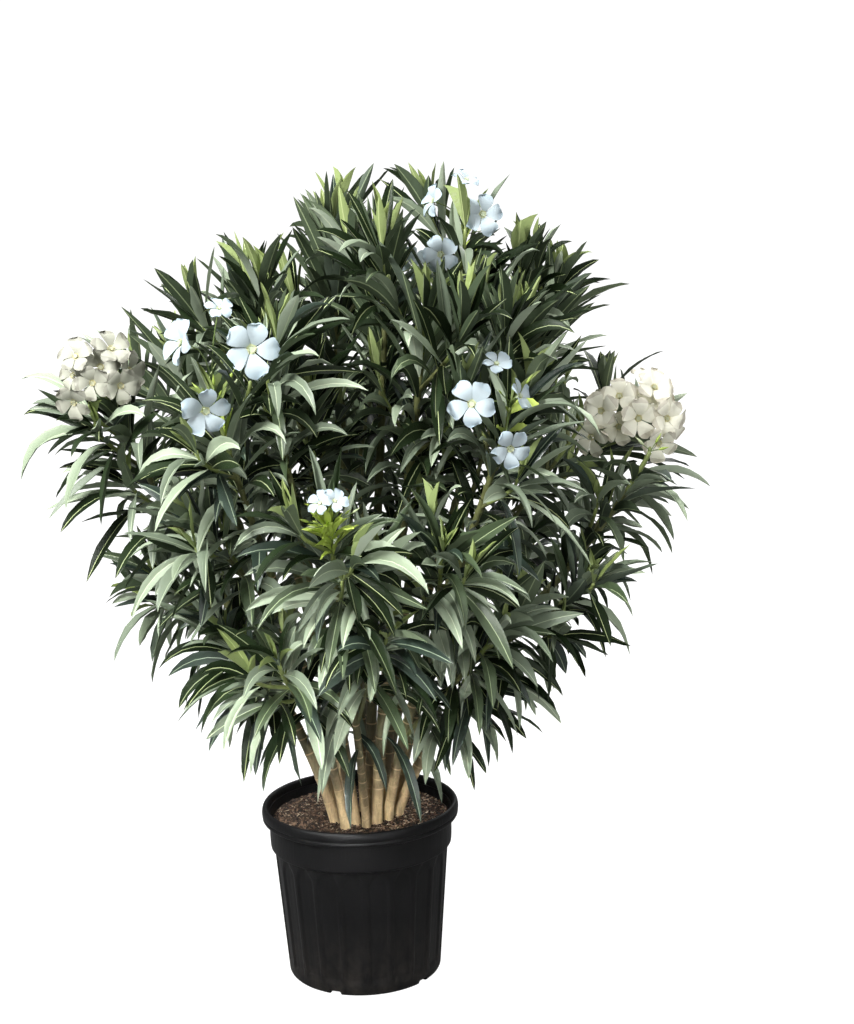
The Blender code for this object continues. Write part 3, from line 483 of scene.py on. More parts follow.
def make_compost():
    angles = 2 * math.pi * np.arange(SOIL_SPOKES) / SOIL_SPOKES
    foot = POT_FLOOR + 0.0005
    points = circle(0.02, foot, angles) + circle(pot_inside(POT_FLOOR) - SOIL_INSET, foot, angles)
    points += circle(pot_inside(COLLAR_FOOT) - SOIL_INSET, COLLAR_FOOT, angles)
    for radius in reversed(SOIL_RADIUS * np.linspace(0.02, 1, SOIL_RINGS)):
        points += [(x, y, soil_height(x, y)) for x, y, _ in circle(radius, 0, angles)]
    pile = Pile(grained("compost", COMPOST_COLOUR, 0.95, CRUMBS, COMPOST_GRAIN, COMPOST_GRAIN, 0.002))
    pile.add(points, tube_faces(3 + SOIL_RINGS, SOIL_SPOKES))
    pile.make("compost_bed", "compost", ["soil"], sharp=80)


def make_chips():
    dice = np.random.default_rng(7)
    pile = Pile(*[grained(name, colour, 0.85, relief=(900, 1.0, 1.6), depth=0.0004)
                  for name, (colour, _) in CHIP_COLOURS.items()])
    shares = [share for _, share in CHIP_COLOURS.values()]
    slots = dice.choice(len(shares), CHIP_COUNT, p=shares)
    base = ((-0.5, -0.5), (0.5, -0.5), (0.5, 0.5), (-0.5, 0.5))
    box = np.array([(x, y, z) for z in (-0.5, 0.5) for x, y in base])
    faces = [(3, 2, 1, 0), (4, 5, 6, 7), (0, 1, 5, 4), (1, 2, 6, 5), (2, 3, 7, 6), (3, 0, 4, 7)]
    for chip in range(CHIP_COUNT):
        size = [dice.uniform(*span) for span in (CHIP_LENGTH, CHIP_WIDTH, CHIP_THICKNESS)]
        shape = box * size
        ends = shape[:, 0] > 0
        shape[ends, 1] *= dice.uniform(0.25, 1.0)
        shape[:, 1] += shape[:, 0] * dice.uniform(-0.3, 0.3)
        reach = (SOIL_RADIUS - 0.004) * math.sqrt(dice.uniform())
        turn, spin = dice.uniform(0, 2 * math.pi, 2)
        x, y = reach * math.sin(turn), -reach * math.cos(turn)
        tilt = Matrix.Rotation(dice.normal(0, 0.32), 3, "X") @ Matrix.Rotation(dice.normal(0, 0.28), 3, "Y")
        lay = np.array(Matrix.Rotation(spin, 3, "Z") @ tilt)
        place = (x, y, soil_height(x, y) + dice.uniform(0.0, CHIP_LIFT))
        pile.add(shape @ lay.T + place, faces, slots[chip])
    pile.make("bark_chips", "compost", sharp=30)


make_compost()
make_chips()


# ---------------------------------------------------------------- The shoots
# Sixteen canes rise from the compost. Each shoot is one smooth curve from its foot, or from its fork on an
# older shoot, to its tip: a bare limb below, and above it the leafy stem of a mass of foliage.

SEED = 31
GAP = 0.0003
UP = Vector((0, 0, 1))
SIDE = Vector((1, 0, 0))
CURVE_STEPS = 32
START_HANDLE = 0.38  # length of the curve's handles, as shares of the straight way from start to tip
TIP_HANDLE = 0.30
START_LEAN = 0.7
TIP_OUT = 0.9
ROUTE_TRIES = 200
NUDGE_STEP = 0.0012
ROUTE_SWELL = 1.05
TEST_SEGMENT = 0.03
TEST_SIDES = 6
LIMB_CLEARANCE = 0.0018
FORK_CLEAR = 0.020
FORK_SHARE = 0.62
TIP_RADIUS = 0.0024
FLARE = 0.18
FLARE_HEIGHT = 0.022
MOST_PIECES = 16000

# A tip is an azimuth in degrees (0 is the front, 90 is +X), a reach from the middle and a height.
CANES = {  # foot on the soil, tip, length of the leafy part, girth, number of twigs
    "left_bloom": ((-0.030, -0.076), (-33, 0.42, 1.21), 0.34, 0.0090, 1),
    "left_upright": ((-0.010, -0.060), (-28, 0.30, 1.28), 0.36, 0.0095, 1),
    "front_centre": ((0.011, -0.078), (-5, 0.42, 1.00), 0.30, 0.0078, 2),
    "mid_upper": ((0.031, -0.056), (34, 0.27, 1.36), 0.44, 0.0115, 2),
    "right_bloom": ((0.054, -0.036), (43, 0.43, 1.19), 0.34, 0.0100, 1),
    "far_left": ((-0.050, -0.044), (-75, 0.45, 1.18), 0.34, 0.0100, 1),
    "far_right": ((0.074, -0.010), (79, 0.59, 1.07), 0.38, 0.0105, 2),
    "top_mid": ((0.020, -0.026), (34, 0.15, 1.45), 0.40, 0.0105, 2),
    "upper_left": ((-0.016, -0.028), (-66, 0.19, 1.39), 0.42, 0.0100, 2),
    "top_bloom": ((0.044, 0.000), (95, 0.24, 1.48), 0.40, 0.0105, 2),
    "top_left": ((0.010, 0.008), (-150, 0.04, 1.49), 0.42, 0.0110, 2),
    "right_crest": ((0.072, 0.024), (101, 0.43, 1.38), 0.40, 0.0105, 2),
    "left_back": ((-0.046, -0.008), (-108, 0.35, 1.25), 0.36, 0.0095, 2),
    "back_left": ((-0.026, 0.030), (-150, 0.42, 1.20), 0.38, 0.0095, 2),
    "back_middle": ((0.008, 0.044), (176, 0.46, 1.12), 0.38, 0.0095, 2),
    "back_right": ((0.044, 0.042), (138, 0.47, 1.20), 0.38, 0.0095, 2),
}
BOUGHS = {  # the older shoot, the share of its length at the fork, tip, length of the leafy part, twigs
    "upper_right": ("right_bloom", 0.42, (64, 0.35, 1.31), 0.34, 1),
    "right_mid": ("right_crest", 0.40, (84, 0.46, 1.12), 0.30, 1),
    "right_cream": ("right_crest", 0.48, (100, 0.57, 1.10), 0.28, 1),
    "right_low": ("far_right", 0.14, (58, 0.27, 0.68), 0.20, 1),
    "inner_left": ("upper_left", 0.42, (-20, 0.20, 1.20), 0.30, 2),
    "back_top": ("top_left", 0.50, (158, 0.29, 1.40), 0.38, 2),
    "left_hang": ("left_back", 0.36, (-84, 0.37, 0.83), 0.20, 1),
    "right_hang": ("far_right", 0.40, (66, 0.48, 0.84), 0.26, 1),
}
LEAFY_SHOOTS = {  # the same for shoots with leaves all the way from their fork
    "inner_right": ("top_mid", 0.48, (50, 0.22, 1.12), 0.30, 1),
    "front_low": ("front_centre", 0.34, (7, 0.37, 0.81), 0.22, 1),
    "left_low": ("left_bloom", 0.20, (-22, 0.37, 0.74), 0.22, 1),
    "left_low_out": ("far_left", 0.22, (-47, 0.33, 0.77), 0.24, 1),
    "left_mid": ("left_bloom", 0.50, (-42, 0.41, 1.00), 0.24, 1),
    "front_right": ("right_bloom", 0.40, (24, 0.40, 0.94), 0.24, 1),
    "right_skirt": ("right_bloom", 0.20, (45, 0.38, 0.77), 0.26, 1),
    "back_low": ("back_middle", 0.40, (-168, 0.42, 0.84), 0.26, 1),
    "back_low_left": ("back_left", 0.40, (-128, 0.42, 0.86), 0.26, 1),
    "back_low_right": ("back_right", 0.38, (122, 0.42, 0.84), 0.26, 1),
}
Shoot = namedtuple("Shoot", "name parent start tip leafy girth limb twigs")
SHOOTS = [Shoot(name, None, foot, tip, leafy, girth, "cane", twigs)
          for name, (foot, tip, leafy, girth, twigs) in CANES.items()]
for limb, table in (("bough", BOUGHS), (None, LEAFY_SHOOTS)):
    SHOOTS += [Shoot(name, parent, fork, tip, leafy, 0, limb, twigs)
               for name, (parent, fork, tip, leafy, twigs) in table.items()]


class Route:
    """A curve through space, read by distance from its start."""

    def __init__(self, start, first_handle, last_handle, tip):
        self.handles = (start, first_handle, last_handle, tip)
        self.points = []
        for step in range(CURVE_STEPS + 1):
            t = step / CURVE_STEPS
            point = start * (1 - t) ** 3 + first_handle * 3 * t * (1 - t) ** 2
            self.points.append(point + last_handle * 3 * t * t * (1 - t) + tip * t**3)
        self.marks = [0.0]
        for here, there in zip(self.points, self.points[1:]):
            self.marks.append(self.marks[-1] + (there - here).length)
        self.length = self.marks[-1]

    def at(self, distance):
        distance = min(max(distance, 0), self.length)
        piece = min(int(np.searchsorted(self.marks, distance, side="right")), len(self.marks) - 1)
        share = (distance - self.marks[piece - 1]) / (self.marks[piece] - self.marks[piece - 1])
        return self.points[piece - 1].lerp(self.points[piece], share)

    def heading(self, distance):
        return (self.at(distance + 0.01) - self.at(distance - 0.01)).normalized()


def polar(azimuth, reach, height):
    angle = math.radians(azimuth)
    return Vector((reach * math.sin(angle), -reach * math.cos(angle), height))


def plan_route(start, tip, lean, nudge):
    """Leaves the start between straight at the tip and the way lean points, and ends turned upwards."""
    span = (tip - start).length
    straight = (tip - start).normalized()
    away = Vector((straight.x, straight.y, 0))
    first = (straight + lean * START_LEAN).normalized()
    last = (UP + away * TIP_OUT).normalized()
    first_handle = start + first * span * START_HANDLE + nudge
    return Route(start, first_handle, tip - last * span * TIP_HANDLE - nudge / 2, tip)


def piece_marks(start, end, piece):
    """Distances along a route at the ends of the straight pieces that stand for a stretch of it."""
    count = max(2, round((end - start) / piece))
    return [start + (end - start) * step / count for step in range(count + 1)]


def tube(route, marks, radii, sides, level_foot=False):
    """Points and faces of a tapering tube with flat ends along a route, each ring square to its heading."""
    corners, faces = [], []
    for mark, radius in zip(marks, radii):
        point = route.at(mark)
        along = UP if level_foot and mark == marks[0] else route.heading(mark)
        side = (SIDE - along * SIDE.dot(along)).normalized()
        other = along.cross(side)
        for corner in range(sides):
            angle = 2 * math.pi * corner / sides
            corners.append(point + (side * math.cos(angle) + other * math.sin(angle)) * radius)
    for ring in range(len(marks) - 1):
        for corner in range(sides):
            low, beside = ring * sides + corner, ring * sides + (corner + 1) % sides
            faces.append((low, beside, beside + sides, low + sides))
    faces.append(tuple(reversed(range(sides))))
    faces.append(tuple(range((len(marks) - 1) * sides, len(marks) * sides)))
    return corners, faces


class Occupied:
    """Everything that is already in place, for testing whether a new piece would touch it."""

    def __init__(self):
        self.trees, self.owners = [], []
        self.low, self.high = np.zeros((MOST_PIECES, 3)), np.zeros((MOST_PIECES, 3))

    def add(self, shape, owner):
        box = np.array(shape[0])
        self.low[len(self.trees)], self.high[len(self.trees)] = box.min(0), box.max(0)
        self.trees.append(BVHTree.FromPolygons(*shape))
        self.owners.append(owner)

    def touches(self, shape, but=None):
        """Whether the shape crosses anything, except what the owner named in but holds."""
        count = len(self.trees)
        box = np.array(shape[0])
        near = (self.low[:count] < box.max(0)).all(1) & (self.high[:count] > box.min(0)).all(1)
        tree = BVHTree.FromPolygons(*shape)
        for index in np.nonzero(near)[0]:
            if self.owners[index] != but and tree.overlap(self.trees[index]):
                return True
        return False


class Growth:
    """One shoot as it grows: its route, its girth and where its leafy part starts."""

    def __init__(self, shoot, parent):
        self.shoot, self.parent = shoot, parent
        self.tip = polar(*shoot.tip)
        if parent is None:
            self.start = Vector((*shoot.start, SOIL_TOP + GAP))
            self.lean = UP
            self.girth = shoot.girth
        else:
            fork = parent.route.length * shoot.start
            self.start = parent.route.at(fork)
            self.lean = parent.route.heading(fork)
            self.girth = parent.radius(fork) * FORK_SHARE
        self.route = plan_route(self.start, self.tip, self.lean, Vector((0, 0, 0)))

    def radius(self, distance):
        share = distance / self.route.length
        flare = FLARE * math.exp(-distance / FLARE_HEIGHT) if self.parent is None else 0
        return (self.girth + (TIP_RADIUS - self.girth) * share) * (1 + flare)

    @property
    def leafy_start(self):
        return self.route.length - self.shoot.leafy if self.shoot.limb else 0.0

    def shape(self, start, end, sides, piece, extra=0.0, swell=1.0):
        """The tube between two distances along the route; a cane's foot is cut level with the soil."""
        marks = piece_marks(start, end, piece)
        radii = [self.radius(mark) * swell + extra for mark in marks]
        return tube(self.route, marks, radii, sides, self.parent is None and start == 0)


def settle_route(growth, occupied, dice):
    """Bends the shoot a little, ever more, until it runs clear of the shoots already in place."""
    start = 3 * growth.girth + FORK_CLEAR if growth.parent else 0.0
    for attempt in range(ROUTE_TRIES):
        reach = NUDGE_STEP * attempt
        nudge = Vector([dice.uniform(-reach, reach) for _ in range(3)])
        growth.route = plan_route(growth.start, growth.tip, growth.lean, nudge)
        end = growth.route.length
        whole = growth.shape(start, end, TEST_SIDES, TEST_SEGMENT, LIMB_CLEARANCE, ROUTE_SWELL)
        if not occupied.touches(whole):
            placed = growth.shape(0, end, TEST_SIDES, TEST_SEGMENT, 0.0, ROUTE_SWELL)
            occupied.add(placed, growth.shoot.name)
            return
    raise RuntimeError(f"no clear way for {growth.shoot.name}")


def grow_shoots(dice):
    growths = {}
    occupied = Occupied()
    for shoot in SHOOTS:
        growth = Growth(shoot, growths.get(shoot.parent))
        settle_route(growth, occupied, dice)
        growths[shoot.name] = growth
    return growths


growths = grow_shoots(random.Random(SEED))
limbs = {growth.shoot.name: growth for growth in growths.values() if growth.shoot.limb}


# ---------------------------------------------------------------- The canes and boughs
# Woody stems with smooth bark, tan and corky at the foot and olive green higher up, where the darker olive is
# partly painted shade from the leaves above; they are ringed by the pale scars of leaves long fallen. A cane
# flares a little where it enters the compost, and a bough swells at its fork.

CANE_AROUND, BOUGH_AROUND, STEM_AROUND = 16, 12, 8
RING_STEP = 0.009
SCAR_SPACING = (0.020, 0.058)
SCAR_PROFILE = (-0.0042, -0.0016, 0.0, 0.0014, 0.0036)  # rings of points round a scar
SCAR_ROOM = 0.0058  # how near to a scar the limb's own rings may be
SCAR_SWELL = 0.060
SCAR_WIDTH, SCAR_TONE = 0.0020, 0.0012  # half the width that swells, and half of what has the scar's colour
FLUTES = 6
FLUTE_DEPTH = (0.006, 0.016)
FLUTE_PITCH = (12, 90)
FOLLOW = 2.2  # above 1, a limb keeps its girth longer than a straight taper would
FORK_SWELL = 0.30
FORK_REACH = 0.016
LEAFY_TIP = 0.0032
SUNK = 0.014  # how deep a cane's foot goes into the compost
BARK_LOW, BARK_HIGH = 0.36, 0.92  # heights between which bark turns from tan to green, and darker as painted shade
BARK_AND_SHADE_TONES = {  # by height between those, from the foot up; the darker olive higher up is partly painted shade from the leaves
    0.10: (0.850, 0.650, 0.350), 0.22: (0.480, 0.355, 0.190),
    0.36: (0.210, 0.185, 0.095), 1.15 / 1.3: (0.185, 0.200, 0.072),
}


def bark_group():
    """Colour of the bark by height, from tan cork to green skin partly darkened as painted shade, with clouds
    and fibres; and its relief.
    """
    tree, ends, out = group_tree("bark", {"Low": 0.0, "High": 0.0}, {"Colour": "Color", "Relief": "Float"})
    climb = height_mask(tree, ends.outputs["Low"], ends.outputs["High"])
    cloud, fibre = speckle(tree, 45, 0.35, 1.6), speckle(tree, 520, 0.10, 1.8)
    shifted = wire(tree, "Math", {0: cloud, 1: 0.30, 2: climb}, operation="MULTIPLY_ADD")
    colour = wire(tree, "ValToRGB", {"Fac": shifted})
    steps = colour.node.color_ramp.elements
    for position, tone in BARK_AND_SHADE_TONES.items():
        steps.new(position).color = (*tone, 1)
    steps.remove(steps[0])
    steps.remove(steps[len(steps) - 1])
    darker = wire(tree, "Mix", {"Factor": 0.45, 6: colour, 7: fibre}, 2,
                  data_type="RGBA", blend_type="MULTIPLY")
    tree.links.new(darker, out.inputs["Colour"])
    tree.links.new(fibre, out.inputs["Relief"])
    return tree


BARK = bark_group()


def bark(name, low, high, roughness):
    material = new_material(name, (0.2, 0.15, 0.08), roughness)
    colour = wire(material.node_tree, "Group", {"Low": low, "High": high}, "Colour", node_tree=BARK)
    wear(material, colour, None, colour.node.outputs["Relief"], 0.0006, 0.6)
    return material


def curve_rows(route, marks):
    """Places, headings, and the two directions across, at every mark along a route, as arrays."""
    first, second, third, last = (np.array(point) for point in route.handles)
    t = np.interp(marks, route.marks, np.linspace(0, 1, CURVE_STEPS + 1))[:, None]
    places = first * (1 - t) ** 3 + second * 3 * t * (1 - t) ** 2
    places = places + third * 3 * t * t * (1 - t) + last * t**3
    ways = (second - first) * (1 - t) ** 2 + (third - second) * 2 * t * (1 - t) + (last - third) * t**2
    ways /= np.linalg.norm(ways, axis=1, keepdims=True)
    sides = np.array(SIDE) - ways * (ways @ np.array(SIDE))[:, None]
    sides /= np.linalg.norm(sides, axis=1, keepdims=True)
    return places, ways, sides, np.cross(ways, sides)


def round_skin(rows, radii):
    """Points of a tube: radii holds one row for each ring, with one value or one for every corner."""
    places, _, sides, others = rows
    turn = 2 * math.pi * np.arange(radii.shape[1]) / radii.shape[1]
    spokes = sides[:, None] * np.cos(turn)[None, :, None] + others[:, None] * np.sin(turn)[None, :, None]
    return (places[:, None] + spokes * radii[..., None]).reshape(-1, 3)


def relief(marks, around, dice):
    """Low swellings and flutes of the wood, as a factor on the radius."""
    turn = 2 * math.pi * np.arange(around)[None] / around
    total = np.zeros((len(marks), around))
    for _ in range(FLUTES):
        depth, times = dice.uniform(*FLUTE_DEPTH), dice.randint(1, 4)
        pitch, phase = dice.uniform(*FLUTE_PITCH), dice.uniform(0, 6.3)
        total += depth * np.sin(times * turn + pitch * marks[:, None] + phase)
    return 1 + total


def limb_marks(start, end, dice):
    """Where a limb's rings of points are, and where its scars are."""
    scars = []
    mark = start + dice.uniform(*SCAR_SPACING)
    while mark < end - 0.008:
        scars.append(mark)
        mark += dice.uniform(*SCAR_SPACING)
    marks = list(np.arange(start, end - RING_STEP / 2, RING_STEP)) + [end]
    marks = [mark for mark in marks
             if mark in (start, end) or all(abs(mark - scar) > SCAR_ROOM for scar in scars)]
    marks += [scar + step for scar in scars for step in SCAR_PROFILE]
    return np.array(sorted(marks)), np.array(scars)


def stem_girth(growth, marks):
    share = np.clip(marks / growth.route.length, 0, 1) ** FOLLOW
    return growth.girth + (LEAFY_TIP - growth.girth) * share


def make_limb(growth, materials):
    name, cane = growth.shoot.name, growth.shoot.limb == "cane"
    dice = random.Random(f"{SEED} bark {name}")
    around = CANE_AROUND if cane else BOUGH_AROUND
    marks, scars = limb_marks(0.0, growth.leafy_start + 0.002, dice)
    rows = curve_rows(growth.route, marks)
    radii = stem_girth(growth, marks)[:, None] * relief(marks, around, dice)
    if cane:
        radii *= 1 + FLARE * np.exp(-marks / FLARE_HEIGHT)[:, None]
        rows[1][0] = UP
        sunk = rows[0][0] - np.array(UP) * SUNK
        rows = [np.concatenate([row[:1], row]) for row in rows]
        rows[0][0] = sunk
        radii = np.concatenate([radii[:1], radii])
        marks = np.concatenate([[-SUNK], marks])
    else:
        radii *= 1 + FORK_SWELL * np.exp(-marks / FORK_REACH)[:, None]
    near = np.abs(marks[:, None] - scars[None]).min(1) if len(scars) else np.full(len(marks), 1.0)
    radii *= 1 + SCAR_SWELL * np.exp(-((near / SCAR_WIDTH) ** 2))[:, None]
    faces = tube_faces(len(marks), around)
    middles = (near[:-1] + near[1:]) / 2
    slots = np.zeros(len(faces), int)
    slots[: (len(marks) - 1) * around] = np.repeat(middles < SCAR_TONE, around)
    pile = Pile(*materials)
    pile.add(round_skin(rows, radii), faces, slots)
    kind = "cane" if cane else "bough"
    pile.make(f"{kind}_{name}_bark", "cane_bark" if cane else "green_bark", [f"{kind}_{name}"], sharp=60)


cane_bark = bark("cane_bark", BARK_LOW, BARK_HIGH, 0.62)
green_bark = bark("green_bark", -0.4, 0.5, 0.5)
scar_tones = ((0.46, 0.34, 0.18), (0.62, 0.47, 0.27))
scar_ring = grained("leaf_scar", (0.42, 0.33, 0.20), 0.8, scar_tones, (160, 0.6, 2.0))
for growth in limbs.values():
    make_limb(growth, (cane_bark, scar_ring))


# ---------------------------------------------------------------- The leafy stems and twigs
# Above its limb each shoot goes on as a green stem that carries the leaves, and puts out a few twigs which
# slant forwards and turn up. They end in a soft pale tip.

TWIG_BACK = 0.38
TWIG_PITCH, TWIG_JITTER = 0.22, 0.25
TWIG_SPAN = (0.36, 0.46)
FINE_TWIGS = 2  # more and shorter twigs than the solids have
FINE_BACK, FINE_PITCH = 0.20, 0.45
FINE_SPAN = (0.26, 0.38)
TWIG_ALONG = 0.85
TWIG_OUT = (0.5, 0.8)
TWIG_RISE = 0.12
TWIG_GIRTHS = (1.5, 1.3, 1.0)
TWIG_BARE = 0.30
TWIG_CLEARANCE = 0.004
TWIG_TRIES = 28
TWIG_SWELL = 1.15
TWIG_STEP = 0.8  # share of the stem's spacing of whorls
TERRITORY = 0.06
STEM_POINTS = 12
NEIGHBOURS = 8
LIMB_PIECE, STEM_PIECE, STEM_ROOM = 0.085, 0.11, 1.25  # of the shapes that leaves keep clear of
POT_SIDES = 40
OVER_BOX = np.array([0.022, 0.022, 0.012])  # how far a leaf may reach beyond its mass's solid
TWIG_INSIDE = np.array([0.060, 0.060, 0.03])
OVER_TIP = 0.150  # how far a leaf may rise above its shoot's tip
CROWN_HEIGHTS = (0.36, 0.45, 0.55, 0.66, 0.80, 0.95, 1.05, 1.30, 1.45, 1.50, 1.55, 1.64)
CROWN_REACHES = (0.24, 0.33, 0.41, 0.48, 0.54, 0.63, 0.84, 0.64, 0.46, 0.34, 0.28, 0.25)
CROWN_SHIFT = (0.0, 0.0, 0.01, 0.02, 0.035, 0.035, 0.02, 0.04, 0.075, 0.075, 0.075, 0.075)  # to the right
CROWN_EDGE = (0.88, 1.12)
SOFT_TIP = 0.09
NODE_SWELL, NODE_REACH = 0.22, 0.0035
WHORL_STEPS = (0.009, 0.027)  # between whorls, at the tip and low on the stem
WHORL_GAIN = 1.8
FIRST_WHORL = 0.002
Bearer = namedtuple("Bearer", "route foot start end stem")  # leaves stand between start and end


def stem_points(growth):
    start, end = growth.leafy_start, growth.route.length
    return [growth.route.at(start + (end - start) * step / STEM_POINTS) for step in range(STEM_POINTS + 1)]


def stem_map():
    """A search tree of points along the leafy stems, with the shoot that each belongs to."""
    names = [growth.shoot.name for growth in growths.values() for _ in range(STEM_POINTS + 1)]
    tree = KDTree(len(names))
    for index, point in enumerate(point for growth in growths.values() for point in stem_points(growth)):
        tree.insert(point, index)
    tree.balance()
    return tree, names


def twig_shape(route, start, extra):
    radii = [TIP_RADIUS * share + extra for share in TWIG_GIRTHS]
    return tube(route, piece_marks(start, route.length, route.length / 2), radii, 3)


def whorl_marks(bearer):
    """Distances along a stem of its whorls of leaves, from the tip down, close together at first."""
    reach, back = bearer.end - bearer.start, FIRST_WHORL
    last_step = WHORL_STEPS[1] * (1 if bearer.stem else TWIG_STEP)
    while back < reach:
        yield bearer.end - back
        back += WHORL_STEPS[0] + (last_step - WHORL_STEPS[0]) * min(back / reach * WHORL_GAIN, 1)


class Mass:
    """The foliage of one shoot: its stem and twigs, and the leaves and blossom they bear."""

    def __init__(self, growth):
        self.growth, self.shoot = growth, growth.shoot
        self.name = f"foliage_{growth.shoot.name}"
        self.dice = random.Random(f"{SEED} {self.name}")
        self.start, self.end = growth.leafy_start, growth.route.length
        self.leafy = min(self.end - self.start, self.shoot.leafy)
        self.bearers = [Bearer(growth.route, self.start, self.end - self.leafy, self.end, True)]
        self.stem_points = stem_points(growth)
        low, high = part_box(self.name)
        self.low, self.high = np.array(low), np.array(high)

    def at_home(self, point):
        """Whether the point is nearer to this mass's stem than to a neighbour's, within TERRITORY."""
        own = min((point - place).length for place in self.stem_points)
        for _, index, distance in homes[0].find_n(point, NEIGHBOURS):
            if homes[1][index] != self.shoot.name:
                return own < distance + TERRITORY
        return True

    def holds(self, tip, edge):
        """Whether a leaf may end here: by its solid, inside the crown, and out of a neighbour's space."""
        inside = (tip > self.low - OVER_BOX).all() and (tip < self.high + OVER_BOX).all()
        inside = inside and tip[2] < self.growth.tip.z + OVER_TIP
        reach = np.interp(tip[2], CROWN_HEIGHTS, CROWN_REACHES) * edge
        off = math.hypot(tip[0] - np.interp(tip[2], CROWN_HEIGHTS, CROWN_SHIFT), tip[1])
        return inside and off < reach and self.at_home(Vector(tip))

    def plan_twig(self, back, spans):
        """A route that leaves the stem slanting forwards, to a random side, and turns upwards."""
        route, dice = self.growth.route, self.dice
        mark = route.length - self.leafy * (back + TWIG_PITCH * dice.uniform(-TWIG_JITTER, TWIG_JITTER))
        foot, along = route.at(mark), route.heading(mark)
        side = Matrix.Rotation(dice.uniform(0, 2 * math.pi), 3, along) @ along.orthogonal().normalized()
        way = (along * TWIG_ALONG + side * dice.uniform(*TWIG_OUT)).normalized()
        span = self.leafy * dice.uniform(*spans)
        tip = foot + (way + UP * TWIG_RISE) * span
        return Route(foot, foot + way * span / 3, tip - UP * span / 4, tip)

    def add_twigs(self):
        plans = [(TWIG_BACK + TWIG_PITCH * count, TWIG_SPAN) for count in range(self.shoot.twigs)]
        plans += [(FINE_BACK + FINE_PITCH * count, FINE_SPAN) for count in range(FINE_TWIGS)]
        for back, spans in plans:
            for _ in range(TWIG_TRIES):
                twig = self.plan_twig(back, spans)
                if taken.touches(twig_shape(twig, 0, TWIG_CLEARANCE), but=self.name):
                    continue
                tip = np.array(twig.points[-1])
                if (tip < self.low + TWIG_INSIDE).any() or (tip > self.high - TWIG_INSIDE).any():
                    continue
                beyond_fork = twig_shape(twig, FORK_CLEAR, TWIG_CLEARANCE)
                if self.at_home(twig.points[-1]) and not taken.touches(beyond_fork):
                    taken.add(twig_shape(twig, 0, 0), self.name)
                    self.bearers.append(Bearer(twig, 0.0, twig.length * TWIG_BARE, twig.length, False))
                    break


def pot_shape():
    """The pot as a plain turned body, wide enough to keep leaves off its rim."""
    profile = ((0.16, 0), (RIM_RADIUS + 0.002, POT_HEIGHT - 0.04), (RIM_RADIUS + 0.002, POT_HEIGHT),
               (RIM_INNER, POT_HEIGHT), (RIM_INNER - 0.004, SOIL_TOP + 0.003))
    turns = 2 * math.pi * np.arange(POT_SIDES) / POT_SIDES
    points = [point for radius, height in profile for point in circle(radius, height, turns)]
    return points, [tuple(face[face >= 0].tolist()) for face in tube_faces(len(profile), POT_SIDES)]


def stem_shape(growth):
    start = growth.leafy_start + (GAP if growth.shoot.limb else 0)
    return growth.shape(start, growth.route.length, 3, STEM_PIECE, 0, STEM_ROOM)


taken = Occupied()
taken.add(pot_shape(), "pot")
for growth in limbs.values():
    taken.add(growth.shape(0, growth.leafy_start, TEST_SIDES, LIMB_PIECE), growth.shoot.name)
homes = stem_map()
masses = [Mass(growth) for growth in growths.values()]
for mass in masses:
    taken.add(stem_shape(mass.growth), mass.name)
for mass in masses:
    mass.add_twigs()

soft_tones = ((0.16, 0.20, 0.060), (0.30, 0.37, 0.12))
soft_green = grained("soft_green", (0.16, 0.22, 0.05), 0.45, soft_tones, (90, 0.5, 1.6))


def make_stems():
    pile = Pile(green_bark, soft_green)
    for mass in masses:
        for bearer in mass.bearers:
            whorls = np.array(list(whorl_marks(bearer)))
            marks = np.arange(bearer.foot, bearer.end, RING_STEP * 1.2)
            marks = np.unique(np.concatenate([marks, whorls, [bearer.end]]))
            marks = marks[np.concatenate([[True], np.diff(marks) > 0.0004])]
            if bearer.stem:
                girth = stem_girth(mass.growth, marks)
            else:
                shares = np.array(TWIG_GIRTHS) * TIP_RADIUS * TWIG_SWELL
                girth = np.interp(marks / bearer.end, (0, 0.5, 1), shares)
            off = np.abs(marks[:, None] - whorls[None]).min(1)
            girth = girth * (1 + NODE_SWELL * np.exp(-((off / NODE_REACH) ** 2)))
            girth[-1] *= 0.35
            radii = np.repeat(girth[:, None], STEM_AROUND, 1)
            faces = tube_faces(len(marks), STEM_AROUND)
            slots = np.zeros(len(faces), int)
            soft = (marks[:-1] + marks[1:]) / 2 > bearer.end - SOFT_TIP
            slots[: (len(marks) - 1) * STEM_AROUND] = np.repeat(soft, STEM_AROUND)
            pile.add(round_skin(curve_rows(bearer.route, marks), radii), faces, slots)
    pile.make("leafy_stems", "green_bark", sharp=60)


make_stems()
